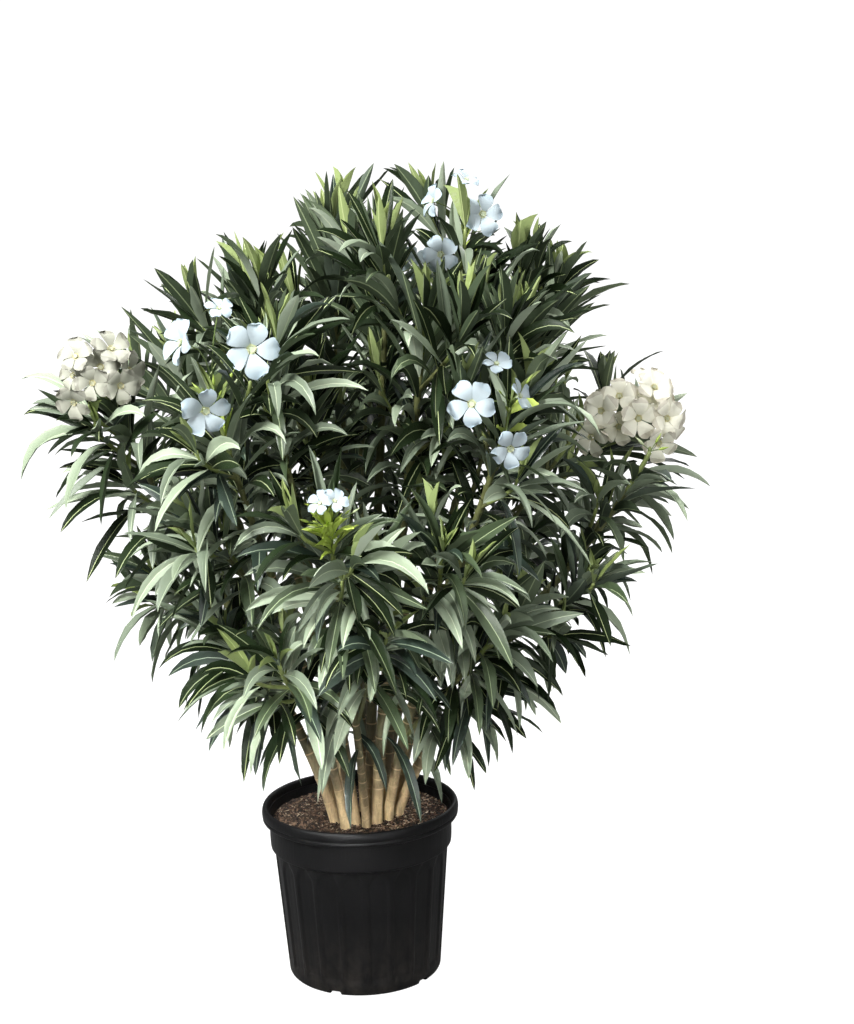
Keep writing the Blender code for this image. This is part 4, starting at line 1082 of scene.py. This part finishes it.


# ---------------------------------------------------------------- The blossom
# Single flowers with five broad petals set like a pinwheel round a fringed yellow throat, on a slim tube with
# five green sepals. White ones stand near some shoot tips, and two round heads are cream, going over: the
# right head's cream is brightened as painted light, and the left head is the same cream painted darker as
# shade.

PETALS = 5
PETAL_STATIONS = np.array([0, 0.09, 0.24, 0.42, 0.60, 0.75, 0.88, 0.96, 0.995])
PETAL_ACROSS = np.array([1, 0.68, 0.34, 0, -0.34, -0.68, -1])
PETAL_WIDEST = 0.72
PETAL_FALL = (0.04, 0.26)
PETAL_SIZES = (0.92, 1.06)
PETAL_THICKNESS = 0.0007
PETAL_GRAIN = ((55, 1.0, 1.4), (320,), 0.0004, 0.4)  # of its mottling and of its relief
PETAL_SKIN = {"Subsurface Weight": 0.15, "Subsurface Radius": (0.004, 0.004, 0.004)}
PETAL_COLOURS = {  # petal and its shade, throat, tube, outer edge and its shade
    "white": ((0.48, 0.56, 0.60), (0.42, 0.50, 0.53), (0.62, 0.64, 0.40), (0.48, 0.56, 0.38),
              (0.45, 0.55, 0.61), (0.40, 0.49, 0.54)),
    # one cream flower twice: the next row is brightened as painted light, and the row after it darkened as
    # painted shade
    "cream": ((0.97, 0.96, 0.82), (0.87, 0.85, 0.70), (0.66, 0.62, 0.34), (0.48, 0.50, 0.32),
              (0.80, 0.77, 0.64), (0.58, 0.54, 0.44)),
    "faded": ((0.44, 0.45, 0.37), (0.37, 0.37, 0.30), (0.58, 0.54, 0.30), (0.44, 0.45, 0.30),
              (0.35, 0.35, 0.29), (0.23, 0.225, 0.18)),
}
FLOWER_DEPTH = 0.016
HAIRS = 15  # of the fringe round the throat
# Lengths, radii and depths of a flower's parts, as shares of half its width:
HAIR_LENGTHS, HAIR_RADIUS, HAIR_RING, HAIR_SUNK = (0.10, 0.18), 0.014, 0.09, 0.12
TUBE_LENGTH, TUBE_RADIUS, TUBE_SUNK = 0.42, 0.13, 0.52
SEPAL_LENGTH, SEPAL_RADIUS, SEPAL_SUNK = 0.24, 0.045, 0.55
PEDICEL_RADIUS = 0.0013
PEDICEL_STEP = 0.007
BUD_LENGTH = (0.014, 0.026)
BUD_GIRTHS = (0.45, 0.9, 1.0, 0.75, 0.35, 0.08)
BUD_FOOT = 0.004
BLOOM_GAP = 0.003
BLOOM_TRIES, BLOOM_STEP = 12, 0.006  # a flower that has no room moves outwards by steps
STAR_TIPS = 10
FRONT = Vector((0, -1, 0.05)).normalized()
WHITE_FLOWERS = {  # to the right, front and up from the shoot's tip; azimuth and elevation; diameter
    "top_bloom": ((-0.066, 0.060, 0.076, -70, 20, 0.066), (0.033, 0.075, 0.048, 8, 10, 0.078),
                  (-0.053, 0.080, -0.027, -28, -4, 0.074), (0.007, 0.030, 0.116, 30, 55, 0.052)),
    "left_bloom": ((-0.060, 0.020, 0.118, -55, 15, 0.082), (-0.012, 0.065, 0.000, 16, -14, 0.084),
                   (0.014, 0.000, 0.176, 20, 50, 0.052)),
    "left_upright": ((-0.020, 0.080, 0.030, 6, 5, 0.098),),
    "right_bloom": ((-0.074, 0.055, 0.014, -8, 8, 0.082), (0.018, 0.030, 0.024, 60, 25, 0.064),
                    (-0.006, 0.070, -0.068, 16, -12, 0.070), (-0.024, 0.010, 0.082, 10, 50, 0.052)),
    "front_centre": ((-0.016, 0.035, 0.052, -20, 35, 0.046), (0.012, 0.035, 0.058, 25, 40, 0.046)),
    "back_top": ((-0.040, -0.060, 0.040, 190, 15, 0.078), (0.046, -0.050, 0.020, 150, 20, 0.078)),
    "back_left": ((-0.030, -0.060, 0.030, 215, 15, 0.078), (0.040, -0.050, 0.040, 170, 30, 0.070)),
}
HEADS = {  # petals, number of flowers, radii of the head, diameter of a flower, middle from the shoot's tip
    # the left head takes the cream darkened as painted shade, and the right head the cream brightened as
    # painted light
    "far_left": ("faded", 9, (0.044, 0.035, 0.034), 0.070, (-0.030, -0.04, 0.022)),
    "right_cream": ("cream", 14, (0.072, 0.045, 0.046), 0.074, (0.008, -0.05, -0.030)),
}
HEAD_RISE = 0.050
HEAD_FALL = 1.25
HEAD_TURN = math.radians(137.5)
HEAD_SIZES = (0.92, 1.05)
HEAD_LEAN = Matrix.Rotation(math.radians(50), 3, "X")  # the heads face up and to the front
HEAD_FACING = Vector((0, -0.95, 0.0))
BUD_SPRAYS = {  # how many buds stand round a shoot's tip, and how wide they spread
    "top_bloom": (7, 0.060), "left_bloom": (8, 0.065), "left_upright": (3, 0.035), "right_bloom": (7, 0.060),
    "front_centre": (16, 0.050), "back_top": (4, 0.05), "back_left": (4, 0.05), "top_mid": (3, 0.03),
    "far_left": (3, 0.04), "right_cream": (4, 0.04), "far_right": (3, 0.03), "mid_upper": (3, 0.03),
}
SPRAY_CLEAR = {"front_centre": 0.050, "left_bloom": 0.022, "top_bloom": 0.022, "right_bloom": 0.022}
clearings = []  # (centre, way, radius) of the spaces kept free of leaves in front of flowers


def petal(turn, size, fall, dice):
    """Points of one petal, ring by ring outwards: the upper side from left to right, then back underneath."""
    v, u = PETAL_STATIONS[:, None], PETAL_ACROSS[None]
    cup, curl, ripple = dice.uniform(0.06, 0.16), dice.uniform(-0.05, 0.10), dice.uniform(0, 6.3)
    grow = np.sin(np.minimum(v / PETAL_WIDEST, 1) * math.pi / 2) ** 1.25
    beyond = np.clip(v - PETAL_WIDEST, 0, 1) / (1.01 - PETAL_WIDEST)
    width = (0.07 + 0.355 * grow) * np.sqrt(1 - beyond**2.6)
    out = 0.10 + 0.90 * v * (1 - 0.10 * v * u) + 0.03 * v**3 * np.sin(6 * u + ripple)
    aside = width * (u + 0.18 * v * (1 - u**2)) + 0.17 * v**2
    rise = -0.22 * (1 - v) ** 3 + cup * v + curl * v**2 * u**2 - fall * v**4
    rise = rise + 0.035 * v**2 * np.sin(4 * u + ripple)
    rise = rise + 0.10 * v * u * dice.uniform(0.5, 1.2)
    upper = np.stack([out, aside, rise], -1)
    lower = upper[:, -2:0:-1] - np.array([0, 0, PETAL_THICKNESS / size])
    shape = np.concatenate([upper, lower], 1).reshape(-1, 3) * size
    return shape @ np.array(Matrix.Rotation(turn, 3, "Z")).T


def petal_faces():
    """Faces of a petal and their slots: throat at its foot, edge at its outer end, its own between."""
    around = 2 * len(PETAL_ACROSS) - 2
    faces = tube_faces(len(PETAL_STATIONS), around)
    slots = np.zeros(len(faces), int)
    slots[:around] = 1
    slots[(len(PETAL_STATIONS) - 4) * around :] = 3
    return faces, slots


def spindle(length, radius, girths, around=6):
    """A slim closed body along +Z, with a radius for each ring as a share of the widest."""
    turn = 2 * math.pi * np.arange(around) / around
    widths = np.array(girths)[:, None] * radius
    heights = np.broadcast_to(np.linspace(0, length, len(girths))[:, None], (len(girths), around))
    points = np.stack([widths * np.cos(turn), widths * np.sin(turn), heights], -1)
    return points.reshape(-1, 3), tube_faces(len(girths), around)


def standing(way, place, spin=0.0):
    """Rotation and place that stand a shape made along +Z on its foot, pointing along way."""
    turn = way.to_track_quat("Z", "Y").to_matrix() @ Matrix.Rotation(spin, 3, "Z")
    return np.array(turn), np.array(place)


def put(pile, shape, stand, slots=0):
    pile.add(shape[0] @ stand[0].T + stand[1], shape[1], slots)


def lean_out(pile, shape, turn, tilt, root, stand, slot):
    """Puts a spindle that leans outwards from a flower's axis, at a turn round it."""
    lean = Vector((math.cos(turn) * tilt, math.sin(turn) * tilt, 1)).normalized()
    turned = shape[0] @ np.array(lean.to_track_quat("Z", "Y").to_matrix()).T
    put(pile, (turned + root, shape[1]), stand, slot)


def stalk(pile, foot, along, head, facing, radius):
    """A thin stem that leaves foot along the shoot and comes up behind a flower or bud."""
    span = (head - foot).length
    route = Route(foot, foot + along * span * 0.4, head - facing * span * 0.4, head)
    rows = curve_rows(route, np.linspace(0, route.length, 7))
    pile.add(round_skin(rows, np.full((7, 5), radius)), tube_faces(7, 5))


def star(centre, facing, diameter):
    """A plain star for testing whether there is room for a flower."""
    side = facing.orthogonal().normalized()
    other = side.cross(facing)
    points = [centre + (side * math.cos(turn) + other * math.sin(turn)) * diameter / 2
              for turn in np.linspace(0, 2 * math.pi, STAR_TIPS, endpoint=False)]
    faces = []
    for tip in range(STAR_TIPS):
        beside = (tip + 1) % STAR_TIPS
        faces += [(tip, beside, STAR_TIPS), (beside, tip, STAR_TIPS + 1)]
    return points + [centre + facing * 0.004, centre - facing * FLOWER_DEPTH], faces


def add_flower(petals, greens, centre, facing, diameter, foot, along, dice):
    """Petals, fringed throat, tube, sepals and stalk of one flower."""
    size = diameter / 2
    stand = standing(facing, centre, dice.uniform(0, 2 * math.pi))
    fall = dice.uniform(*PETAL_FALL)
    faces, slots = petal_faces()
    for count in range(PETALS):
        turn = 2 * math.pi * count / PETALS + dice.uniform(-0.08, 0.08)
        points = petal(turn, size * dice.uniform(*PETAL_SIZES), fall * dice.uniform(0.6, 1.4), dice)
        put(petals, (points, faces), stand, slots)
    for count in range(HAIRS):
        turn = 2 * math.pi * (count + dice.uniform(-0.2, 0.2)) / HAIRS
        hair = spindle(size * dice.uniform(*HAIR_LENGTHS), size * HAIR_RADIUS, (1, 0.8, 0.15), 3)
        ring = np.array([math.cos(turn), math.sin(turn), 0]) * size * HAIR_RING
        lean_out(petals, hair, turn, 0.75, ring - np.array([0, 0, size * HAIR_SUNK]), stand, 1)
    points, faces = spindle(size * TUBE_LENGTH, size * TUBE_RADIUS, (0.35, 0.42, 0.60, 1.0), 8)
    put(petals, (points - np.array([0, 0, size * TUBE_SUNK]), faces), stand, 2)
    sepal = spindle(size * SEPAL_LENGTH, size * SEPAL_RADIUS, (0.7, 1, 0.6, 0.1), 4)
    for count in range(PETALS):
        turn = 2 * math.pi * (count + 0.5) / PETALS
        lean_out(greens, sepal, turn, 0.5, np.array([0, 0, -size * SEPAL_SUNK]), stand, 0)
    stalk(greens, foot, along, centre - facing * size * TUBE_SUNK, facing, PEDICEL_RADIUS)


def petal_pile(kind, own, shade, throat, neck, edge, edge_shade):
    """An empty pile for one kind of flower, with slots for petal, throat, tube and outer edge."""
    made = [new_material(f"{kind}_throat", throat, 0.6), new_material(f"{kind}_tube", neck, 0.5)]
    for place, part, light, dark in ((0, "petal", own, shade), (3, "edge", edge, edge_shade)):
        skin = grained(f"{kind}_{part}", light, 0.55, (dark, light), *PETAL_GRAIN, PETAL_SKIN)
        made.insert(place, skin)
    return Pile(*made)


def bloom_of(growth, dice):
    """(centre, facing, diameter, kind) of each flower at this shoot's tip."""
    name, tip = growth.shoot.name, growth.tip
    found = []
    for right, front, up, azimuth, elevation, diameter in WHITE_FLOWERS.get(name, ()):
        rise = math.radians(elevation)
        facing = polar(azimuth, math.cos(rise), math.sin(rise))
        found.append((tip + Vector((right, -front, up)), facing, diameter, "white"))
    kind, count, size, diameter, shift = HEADS.get(name, ("", 0, (), 0, ()))
    for place in range(count):
        turn = place * HEAD_TURN
        height = 1 - HEAD_FALL * (place + 0.5) / count
        spread = math.sqrt(1 - height * height)
        facing = HEAD_LEAN @ Vector((spread * math.cos(turn), spread * math.sin(turn), height))
        centre = tip + Vector(shift) + UP * HEAD_RISE + Vector(np.array(facing) * size)
        facing = (facing + HEAD_FACING).normalized()
        found.append((centre, facing, diameter * dice.uniform(*HEAD_SIZES), kind))
    return found


def add_flowers(mass, piles, greens, dice):
    route = mass.growth.route
    mark = route.length - PEDICEL_STEP
    for centre, facing, diameter, kind in bloom_of(mass.growth, mass.dice):
        white = kind == "white"
        for _ in range(BLOOM_TRIES):
            if not taken.touches(star(centre, facing, diameter * 0.9 + BLOOM_GAP)):
                break
            centre = centre + (FRONT if white else facing) * BLOOM_STEP
        else:
            continue
        taken.add(star(centre, facing, diameter), mass.name)
        clearings.append((centre, facing, diameter * 0.45))
        clearings.append((centre, FRONT, diameter * (0.45 if white else 0.62)))
        add_flower(piles[kind], greens, centre, facing, diameter, route.at(mark), route.heading(mark), dice)
        mark -= PEDICEL_STEP / 2


def add_buds(mass, greens, dice):
    route, tip = mass.growth.route, mass.growth.route.points[-1]
    along = route.heading(route.length - BUD_FOOT)
    count, spread = BUD_SPRAYS.get(mass.shoot.name, (0, 0))
    for _ in range(count):
        turn, rise = dice.uniform(0, 360), dice.uniform(0.1, 1.3)
        way = polar(turn, math.cos(rise), math.sin(rise))
        head = tip + way * spread * dice.uniform(0.5, 1.0)
        length = dice.uniform(*BUD_LENGTH)
        if taken.touches(star(head + way * length / 2, way, 0.016)):
            continue
        taken.add(star(head + way * length / 2, way, 0.012), mass.name)
        slot = dice.choice((1, 2, 2))
        stalk(greens, tip - along * BUD_FOOT, along, head, way, PEDICEL_RADIUS * 0.8)
        put(greens, spindle(length, length * 0.13, BUD_GIRTHS), standing(way, head), slot)


def make_blossom():
    piles = {kind: petal_pile(kind, *colours) for kind, colours in PETAL_COLOURS.items()}
    greens = Pile(new_material("sepal_green", (0.14, 0.20, 0.06), 0.5),
                  new_material("bud_cream", (0.52, 0.60, 0.34), 0.5),
                  new_material("bud_green", (0.36, 0.48, 0.09), 0.5))
    for mass in masses:
        dice = random.Random(f"{SEED} blossom {mass.name}")
        add_flowers(mass, piles, greens, dice)
        if mass.shoot.name in SPRAY_CLEAR:
            clearings.append((mass.growth.route.points[-1], FRONT, SPRAY_CLEAR[mass.shoot.name]))
        add_buds(mass, greens, dice)
    for kind, pile in piles.items():
        pile.make(f"{kind}_blossom", "foliage", sharp=80)
    greens.make("flower_stalks", "foliage", sharp=80)


make_blossom()


# ---------------------------------------------------------------- The leaves
# Lance-shaped leathery leaves in whorls of three: short and upright at a shoot's tip, long, arching and
# drooping lower down. Upper sides are dark to grey green, undersides paler, and each has one strong pale rib.

LEAF_LENGTH = 0.196
LEAF_WIDTH = 0.0285
LEAF_SIZES = (0.74, 1.08)
LEAF_WIDTHS = (0.76, 1.18)
WHORL = 3
WHORL_TURN = math.radians(60)
YOUNG_LEAF, HIGH_YOUNG = 0.34, 0.26
YOUNG_UNTIL = 0.13
FOLDS = (10, 38)
YOUNG_FOLD = 0.2
TIP_SPREAD, OLD_SPREAD, LOW_SPREAD = math.radians(12), math.radians(66), math.radians(10)
TIP_DROOP, OLD_DROOP, LOW_DROOP, LOW_OLD_DROOP, LOOSE_DROOP = 0.02, 0.46, 0.06, 0.52, 0.60
LOW_UNDER, LOW_SPAN = 1.0, 0.35
HIGH_OVER, HIGH_SPAN, HIGH_NARROW = 1.12, 0.25, 0.62
CLEAR_DEPTH = 0.20
clear_centres, clear_ways, clear_radii = (np.array(column) for column in zip(*clearings))
LEAF_TRIES = 14
LOOSENESS = (0.12, 0.035)
SHRINK = 0.035
STATIONS = np.array([0, 0.045, 0.12, 0.23, 0.36, 0.50, 0.65, 0.79, 0.91, 1.0])
PETIOLE = 0.0017
RIB = 0.00075
BLADE_SLOTS = (0, 0, 1, 0, 0, 2, 3, 2)  # upper side, upper rib, underside and its rib, by corner
CROSS_SECTION = (0.0, 1.0, -1.0, -1.0, 1.0, 0.0, -3.2, -3.2)  # height of the eight corners, in thicknesses
BLADE_THICKNESS = 0.00035
OUTLINE = (1.03, 0.84)  # the half width along a blade is sin(pi t^a)^b
BENDS = (0.9, 2.2)
SWEEP = 0.26
TWIST = 0.75
WAVES = (0.0003, 0.0018)
WAVE_COUNT = 17
BRACTS = {"front_centre": 42, "left_bloom": 7, "top_bloom": 6, "right_bloom": 4, "far_left": 3}
BRACT_LENGTH, BRACT_WIDTH = 0.066, 0.0125
BRACT_SIZES = (0.55, 1.15)
BRACT_BACK = (-0.006, 0.060)
BRACT_ROUND = 1.3
BRACT_SPREAD = (8, 62)
OLD_LEAF_FRONT = 80  # azimuth up to which a cane keeps some old leaves
OLD_LEAF_MARKS = (0.20, 0.70)
OLD_LEAF_STEP = 0.065
OLD_LEAF_SAG = 1.2
OLD_TONES = ("sage", "sage", "green", "teal", "pale")
LEAF_PIECE = 150_000  # triangles after which a new piece is begun
LEAF_GRAIN = (240, 1.0, 1.5)
LEAF_TONES = {  # upper side, upper rib, underside and lower rib
    # Apart from young and bract, the spread of tones from black to pale is partly random and mostly painted
    # shade and painted sheen, dealt out by place
    "black": ((0.009, 0.016, 0.006), (0.42, 0.49, 0.24), (0.050, 0.072, 0.038), (0.26, 0.32, 0.17)),
    "dark": ((0.019, 0.032, 0.013), (0.42, 0.49, 0.26), (0.075, 0.102, 0.058), (0.28, 0.34, 0.19)),
    "teal": ((0.026, 0.042, 0.030), (0.28, 0.35, 0.24), (0.100, 0.130, 0.092), (0.30, 0.37, 0.24)),
    "green": ((0.056, 0.082, 0.040), (0.32, 0.39, 0.22), (0.135, 0.175, 0.105), (0.34, 0.41, 0.24)),
    "sage": ((0.160, 0.200, 0.138), (0.40, 0.47, 0.32), (0.240, 0.295, 0.200), (0.42, 0.49, 0.33)),
    "pale": ((0.310, 0.375, 0.262), (0.58, 0.65, 0.47), (0.400, 0.470, 0.350), (0.54, 0.60, 0.44)),
    "bract": ((0.540, 0.660, 0.135), (0.60, 0.68, 0.22), (0.520, 0.640, 0.150), (0.54, 0.64, 0.16)),
    "young": ((0.220, 0.280, 0.090), (0.42, 0.49, 0.21), (0.270, 0.340, 0.130), (0.42, 0.49, 0.22)),
}
LEAF_GLOSS = {  # roughness and specular level
    "black": (0.30, 0.07), "dark": (0.30, 0.13), "teal": (0.30, 0.40), "green": (0.36, 0.36),
    "sage": (0.42, 0.36), "pale": (0.48, 0.32), "bract": (0.45, 0.30), "young": (0.42, 0.40),
}
UNDER_GLOSS = (0.62, 0.20)
LEAF_SHARES = {  # how the tones are dealt out in each part of the crown: the black and dark ones inside, on top and in the skirt are painted shade, and the sage and pale ones outside are painted sheen
    "inside": {"black": 52, "dark": 26, "teal": 11, "green": 6, "sage": 3, "pale": 2},
    "top": {"black": 46, "dark": 28, "teal": 4, "green": 8, "sage": 7, "pale": 7},
    "outside": {"black": 8, "dark": 10, "teal": 16, "green": 17, "sage": 30, "pale": 19},
    "skirt": {"black": 20, "dark": 22, "teal": 24, "green": 14, "sage": 14, "pale": 6},
}
INSIDE = (0.12, 0.26)  # distances from the plant's middle over which leaves turn from the inner tones, painted shade deep in the crown
MIDDLE_X = 0.04
YOUNG_TONE = 0.036
OLD_SHADED = 0.62  # share of the oldest leaves, low on their stems, that keep the inner tones of painted shade further out
DARK_TOP = (1.05, 1.34)  # heights over which the outer leaves turn dark, as painted shade
# heights over which the outer leaves turn from the darker skirt tones, painted shade under the crown
DARK_SKIRT = (0.60, 0.90)
WEARY, WEARY_FROM, WEARY_SAG = 0.17, 0.20, 0.85  # share of the older leaves that hang slack and are paler, the pale tones being painted sheen
SLACK_SHEEN_TONES = ("pale", "pale", "sage", "green")


class Blade:
    """One leaf: its middle line, and the ways across and out of its upper side all along it."""

    def __init__(self, root, heading, across, length, width, droop, dice):
        t = STATIONS[:, None]
        bend, sweep, twist = dice.uniform(*BENDS), dice.uniform(-SWEEP, SWEEP), dice.uniform(-TWIST, TWIST)
        fall = np.array(UP) * droop * (1 + bend) * 0.72 * t**bend
        ways = np.array(heading) - fall + np.array(across) * sweep * t
        ways /= np.linalg.norm(ways, axis=1, keepdims=True)
        steps = np.diff(STATIONS)[:, None] * length * (ways[1:] + ways[:-1]) / 2
        self.line = np.array(root) + np.concatenate([np.zeros((1, 3)), np.cumsum(steps, 0)])
        flat = np.array(across) - ways * (ways @ np.array(across))[:, None]
        flat /= np.linalg.norm(flat, axis=1, keepdims=True)
        lift = np.cross(ways, flat)
        self.across = flat * np.cos(twist * t) + lift * np.sin(twist * t)
        self.lift = np.cross(ways, self.across)
        outline = width / 2 * np.sin(math.pi * STATIONS**OUTLINE[0]) ** OUTLINE[1]
        self.half = np.maximum(outline, PETIOLE * (1 - STATIONS))

    def ribbon(self, first):
        """Its outline as a flat band, from one station on, for testing."""
        left = self.line - self.across * self.half[:, None]
        right = self.line + self.across * self.half[:, None]
        picks = [step for step in (0, 2, 4, 6, 8) if step >= first]
        points = [point for step in picks for point in (left[step], right[step])] + [self.line[-1]]
        faces = [(row, row + 1, row + 3, row + 2) for row in range(0, 2 * len(picks) - 2, 2)]
        last = len(points) - 1
        return [tuple(point) for point in points], faces + [(last - 2, last - 1, last)]

    def mesh(self, fold, dice):
        """Rings of eight corners, from the right edge over the upper rib to the left edge and back below."""
        half, t = self.half[:-1, None], STATIONS[:-1, None]
        rib = np.minimum(RIB, half * 0.5)
        width = np.concatenate([half, half * 0.55, rib, -rib, -half * 0.55, -half, -rib * 1.4, rib * 1.4], 1)
        share = np.abs(width) / half
        bow = np.sin(math.pi * share * 0.5) * half * math.tan(fold)
        wave, phase = dice.uniform(*WAVES), dice.uniform(0, 2 * math.pi)
        ripple = wave * np.sin(t * WAVE_COUNT + phase + np.sign(width) * 0.9) * share**2
        ripple = ripple * np.minimum(1, 4 * t)
        rise = bow + ripple + np.array(CROSS_SECTION)[None] * BLADE_THICKNESS * np.minimum(1, half / 0.004)
        inward = width * math.cos(fold)
        line = self.line[:-1, None]
        points = line + self.across[:-1, None] * inward[..., None] + self.lift[:-1, None] * rise[..., None]
        return np.concatenate([points.reshape(-1, 3), self.line[-1:]])


def blade_faces():
    rings = len(STATIONS) - 1
    body = tube_faces(rings, 8)[: (rings - 1) * 8 + 6]  # its root is closed, and its end runs to the tip
    last = (rings - 1) * 8
    tip = [(last + corner, last + (corner + 1) % 8, rings * 8, -1) for corner in range(8)]
    slots = [1] * 8 + list(BLADE_SLOTS) * (rings - 2) + [1] * 6 + list(BLADE_SLOTS)
    return np.concatenate([body, tip]), np.array(slots)


def leaf_materials():
    """Four materials for every tone, and the place in the list where each tone's begin."""
    made, places = [], {}
    for name, colours in LEAF_TONES.items():
        places[name] = len(made)
        for part, colour in zip(("upper", "rib", "under", "under_rib"), colours):
            rough, shine = LEAF_GLOSS[name] if part in ("upper", "rib") else UNDER_GLOSS
            grain = LEAF_GRAIN if part in ("upper", "under") else None
            made.append(grained(f"leaf_{name}_{part}", colour, rough, relief=grain,
                                depth=0.0008, strength=0.55, own={"Specular IOR Level": shine}))
    return made, places


def tone_of(blade, share, dice):
    """Yellow-green leaves at the tips; elsewhere dark inside and above as painted shade, and grey-green
    outside below as painted sheen.
    """
    if share < YOUNG_TONE:
        return "young"
    middle = blade.line[5]
    depth = np.interp(math.hypot(middle[0] - MIDDLE_X, middle[1]), INSIDE, (0, 1 - OLD_SHADED * share))
    top, skirt = np.interp(middle[2], DARK_TOP, (0, 1)), np.interp(middle[2], DARK_SKIRT, (1, 0))
    if dice.random() > depth:
        row = "inside"
    elif dice.random() < top:
        row = "top"
    else:
        row = "skirt" if dice.random() < skirt else "outside"
    return dice.choices(list(LEAF_SHARES[row]), list(LEAF_SHARES[row].values()))[0]


def hides_blossom(blade):
    """Whether the blade reaches into the clear space in front of a flower."""
    away = blade.line[2:, None] - clear_centres
    depth = (away * clear_ways).sum(2)
    off = np.linalg.norm(away - depth[..., None] * clear_ways, axis=2)
    return bool(((off < clear_radii) & (depth > 0) & (depth < CLEAR_DEPTH)).any())


def place_blade(mass, bearer, mark, turn, dice, share, sag=0, loose_crown=False):
    """Tries a leaf, turned and spread at random, until it has room; None where no try has."""
    root, along = bearer.route.at(mark), bearer.route.heading(mark)
    low = min(max((LOW_UNDER - root.z) / LOW_SPAN, 0), 1)
    high = min(max((root.z - HIGH_OVER) / HIGH_SPAN, 0), 1)
    least = YOUNG_LEAF + HIGH_YOUNG * high
    young = least + (1 - least) * min(share / YOUNG_UNTIL, 1) ** 0.8
    girth = mass.growth.radius(mark) if bearer.stem else TIP_RADIUS * 1.2
    flat = (SIDE - along * SIDE.dot(along)).normalized()
    edge = dice.uniform(*CROWN_EDGE)
    for attempt in range(LEAF_TRIES):
        loose = LOOSENESS[0] + LOOSENESS[1] * attempt
        side = Matrix.Rotation(turn + dice.uniform(-loose, loose) * 2, 3, along) @ flat
        spread = TIP_SPREAD + OLD_SPREAD * share**0.8 * (1 - HIGH_NARROW * high) + LOW_SPREAD * low
        spread += dice.uniform(-loose, loose)
        heading = (along * math.cos(spread) + side * math.sin(spread)).normalized()
        across = along.cross(side).normalized()
        droop = TIP_DROOP + (OLD_DROOP + LOW_OLD_DROOP * low) * share + LOW_DROOP * low
        droop = (droop + sag + dice.uniform(-0.2, LOOSE_DROOP)) * math.hypot(heading.x, heading.y)
        length = LEAF_LENGTH * young * dice.uniform(*LEAF_SIZES) * (1 - SHRINK * attempt)
        width = LEAF_WIDTH * young**0.7 * dice.uniform(*LEAF_WIDTHS)
        blade = Blade(root + side * girth * 0.6, heading, across, length, width, droop, dice)
        if not loose_crown and not mass.holds(blade.line[-1], edge):
            continue
        if not hides_blossom(blade) and not taken.touches(blade.ribbon(2)):
            taken.add(blade.ribbon(0), mass.name)
            return blade
    return None


class Foliage:
    """A pile of leaves of every tone."""

    def __init__(self, materials, places):
        self.places = places
        self.faces, self.kinds = blade_faces()
        self.pile = Pile(*materials)

    def put(self, blade, tone, share, dice):
        fold = math.radians(dice.uniform(*FOLDS) * (1 + max(0, YOUNG_FOLD - share) * 5))
        self.pile.add(blade.mesh(fold, dice), self.faces, self.kinds + self.places[tone])


def add_bracts(foliage):
    """The soft bracts round a spray of buds, most of them to the front."""
    dice = random.Random(f"{SEED} bracts")
    for mass in masses:
        route = mass.growth.route
        for _ in range(BRACTS.get(mass.shoot.name, 0)):
            for _ in range(LEAF_TRIES):
                mark = mass.end - dice.uniform(*BRACT_BACK)
                root, along = route.at(mark), route.heading(mark)
                flat = (FRONT - along * FRONT.dot(along)).normalized()
                side = Matrix.Rotation(dice.gauss(0, BRACT_ROUND), 3, along) @ flat
                spread = math.radians(dice.uniform(*BRACT_SPREAD))
                heading = (along * math.cos(spread) + side * math.sin(spread)).normalized()
                across, size = along.cross(side).normalized(), dice.uniform(*BRACT_SIZES)
                length, width = BRACT_LENGTH * size, BRACT_WIDTH * size
                blade = Blade(root + side * 0.003, heading, across, length, width, 0.2, dice)
                if not taken.touches(blade.ribbon(2)):
                    taken.add(blade.ribbon(0), mass.name)
                    foliage.put(blade, "bract", 0, dice)
                    break


def add_whorls(foliage, mass):
    """Leaves in threes along the stem and twigs of a mass, each three turned against the last."""
    dice = random.Random(f"{SEED} leaves {mass.name}")
    for bearer in mass.bearers:
        for ring, mark in enumerate(whorl_marks(bearer)):
            share = (bearer.end - mark) / (bearer.end - bearer.start)
            for place in range(WHORL):
                turn = ring * WHORL_TURN + place * 2 * math.pi / WHORL
                slack_sheen = share > WEARY_FROM and dice.random() < WEARY
                blade = place_blade(mass, bearer, mark, turn, dice, share, WEARY_SAG * slack_sheen)
                if blade:
                    # slack leaves take pale tones as painted sheen
                    tone = dice.choice(SLACK_SHEEN_TONES) if slack_sheen else tone_of(blade, share, dice)
                    foliage.put(blade, tone, share, dice)


def hang_leaves(foliage):
    """The few old leaves that still hang from the bare canes."""
    dice = random.Random(f"{SEED} old leaves")
    for mass in masses:
        if mass.shoot.limb == "cane" and abs(mass.shoot.tip[0]) < OLD_LEAF_FRONT:
            bearer = Bearer(mass.growth.route, 0, 0, mass.start, True)
            for mark in np.arange(OLD_LEAF_MARKS[0], min(OLD_LEAF_MARKS[1], mass.start), OLD_LEAF_STEP):
                turn, mark = dice.uniform(0, 2 * math.pi), mark + dice.uniform(-0.015, 0.015)
                blade = place_blade(mass, bearer, mark, turn, dice, 1, OLD_LEAF_SAG, True)
                if blade:
                    foliage.put(blade, dice.choice(OLD_TONES), 1, dice)


def make_leaves():
    tones = leaf_materials()
    extras = Foliage(*tones)
    add_bracts(extras)
    foliage, held, made = Foliage(*tones), [], 0
    for mass in masses:
        add_whorls(foliage, mass)
        held.append(mass.name)
        if foliage.pile.triangles() > LEAF_PIECE or mass is masses[-1]:
            made += 1
            foliage.pile.make(f"leaves_{made}", "foliage", held)
            foliage, held = Foliage(*tones), []
    hang_leaves(extras)
    extras.pile.make("old_leaves", "foliage")


make_leaves()
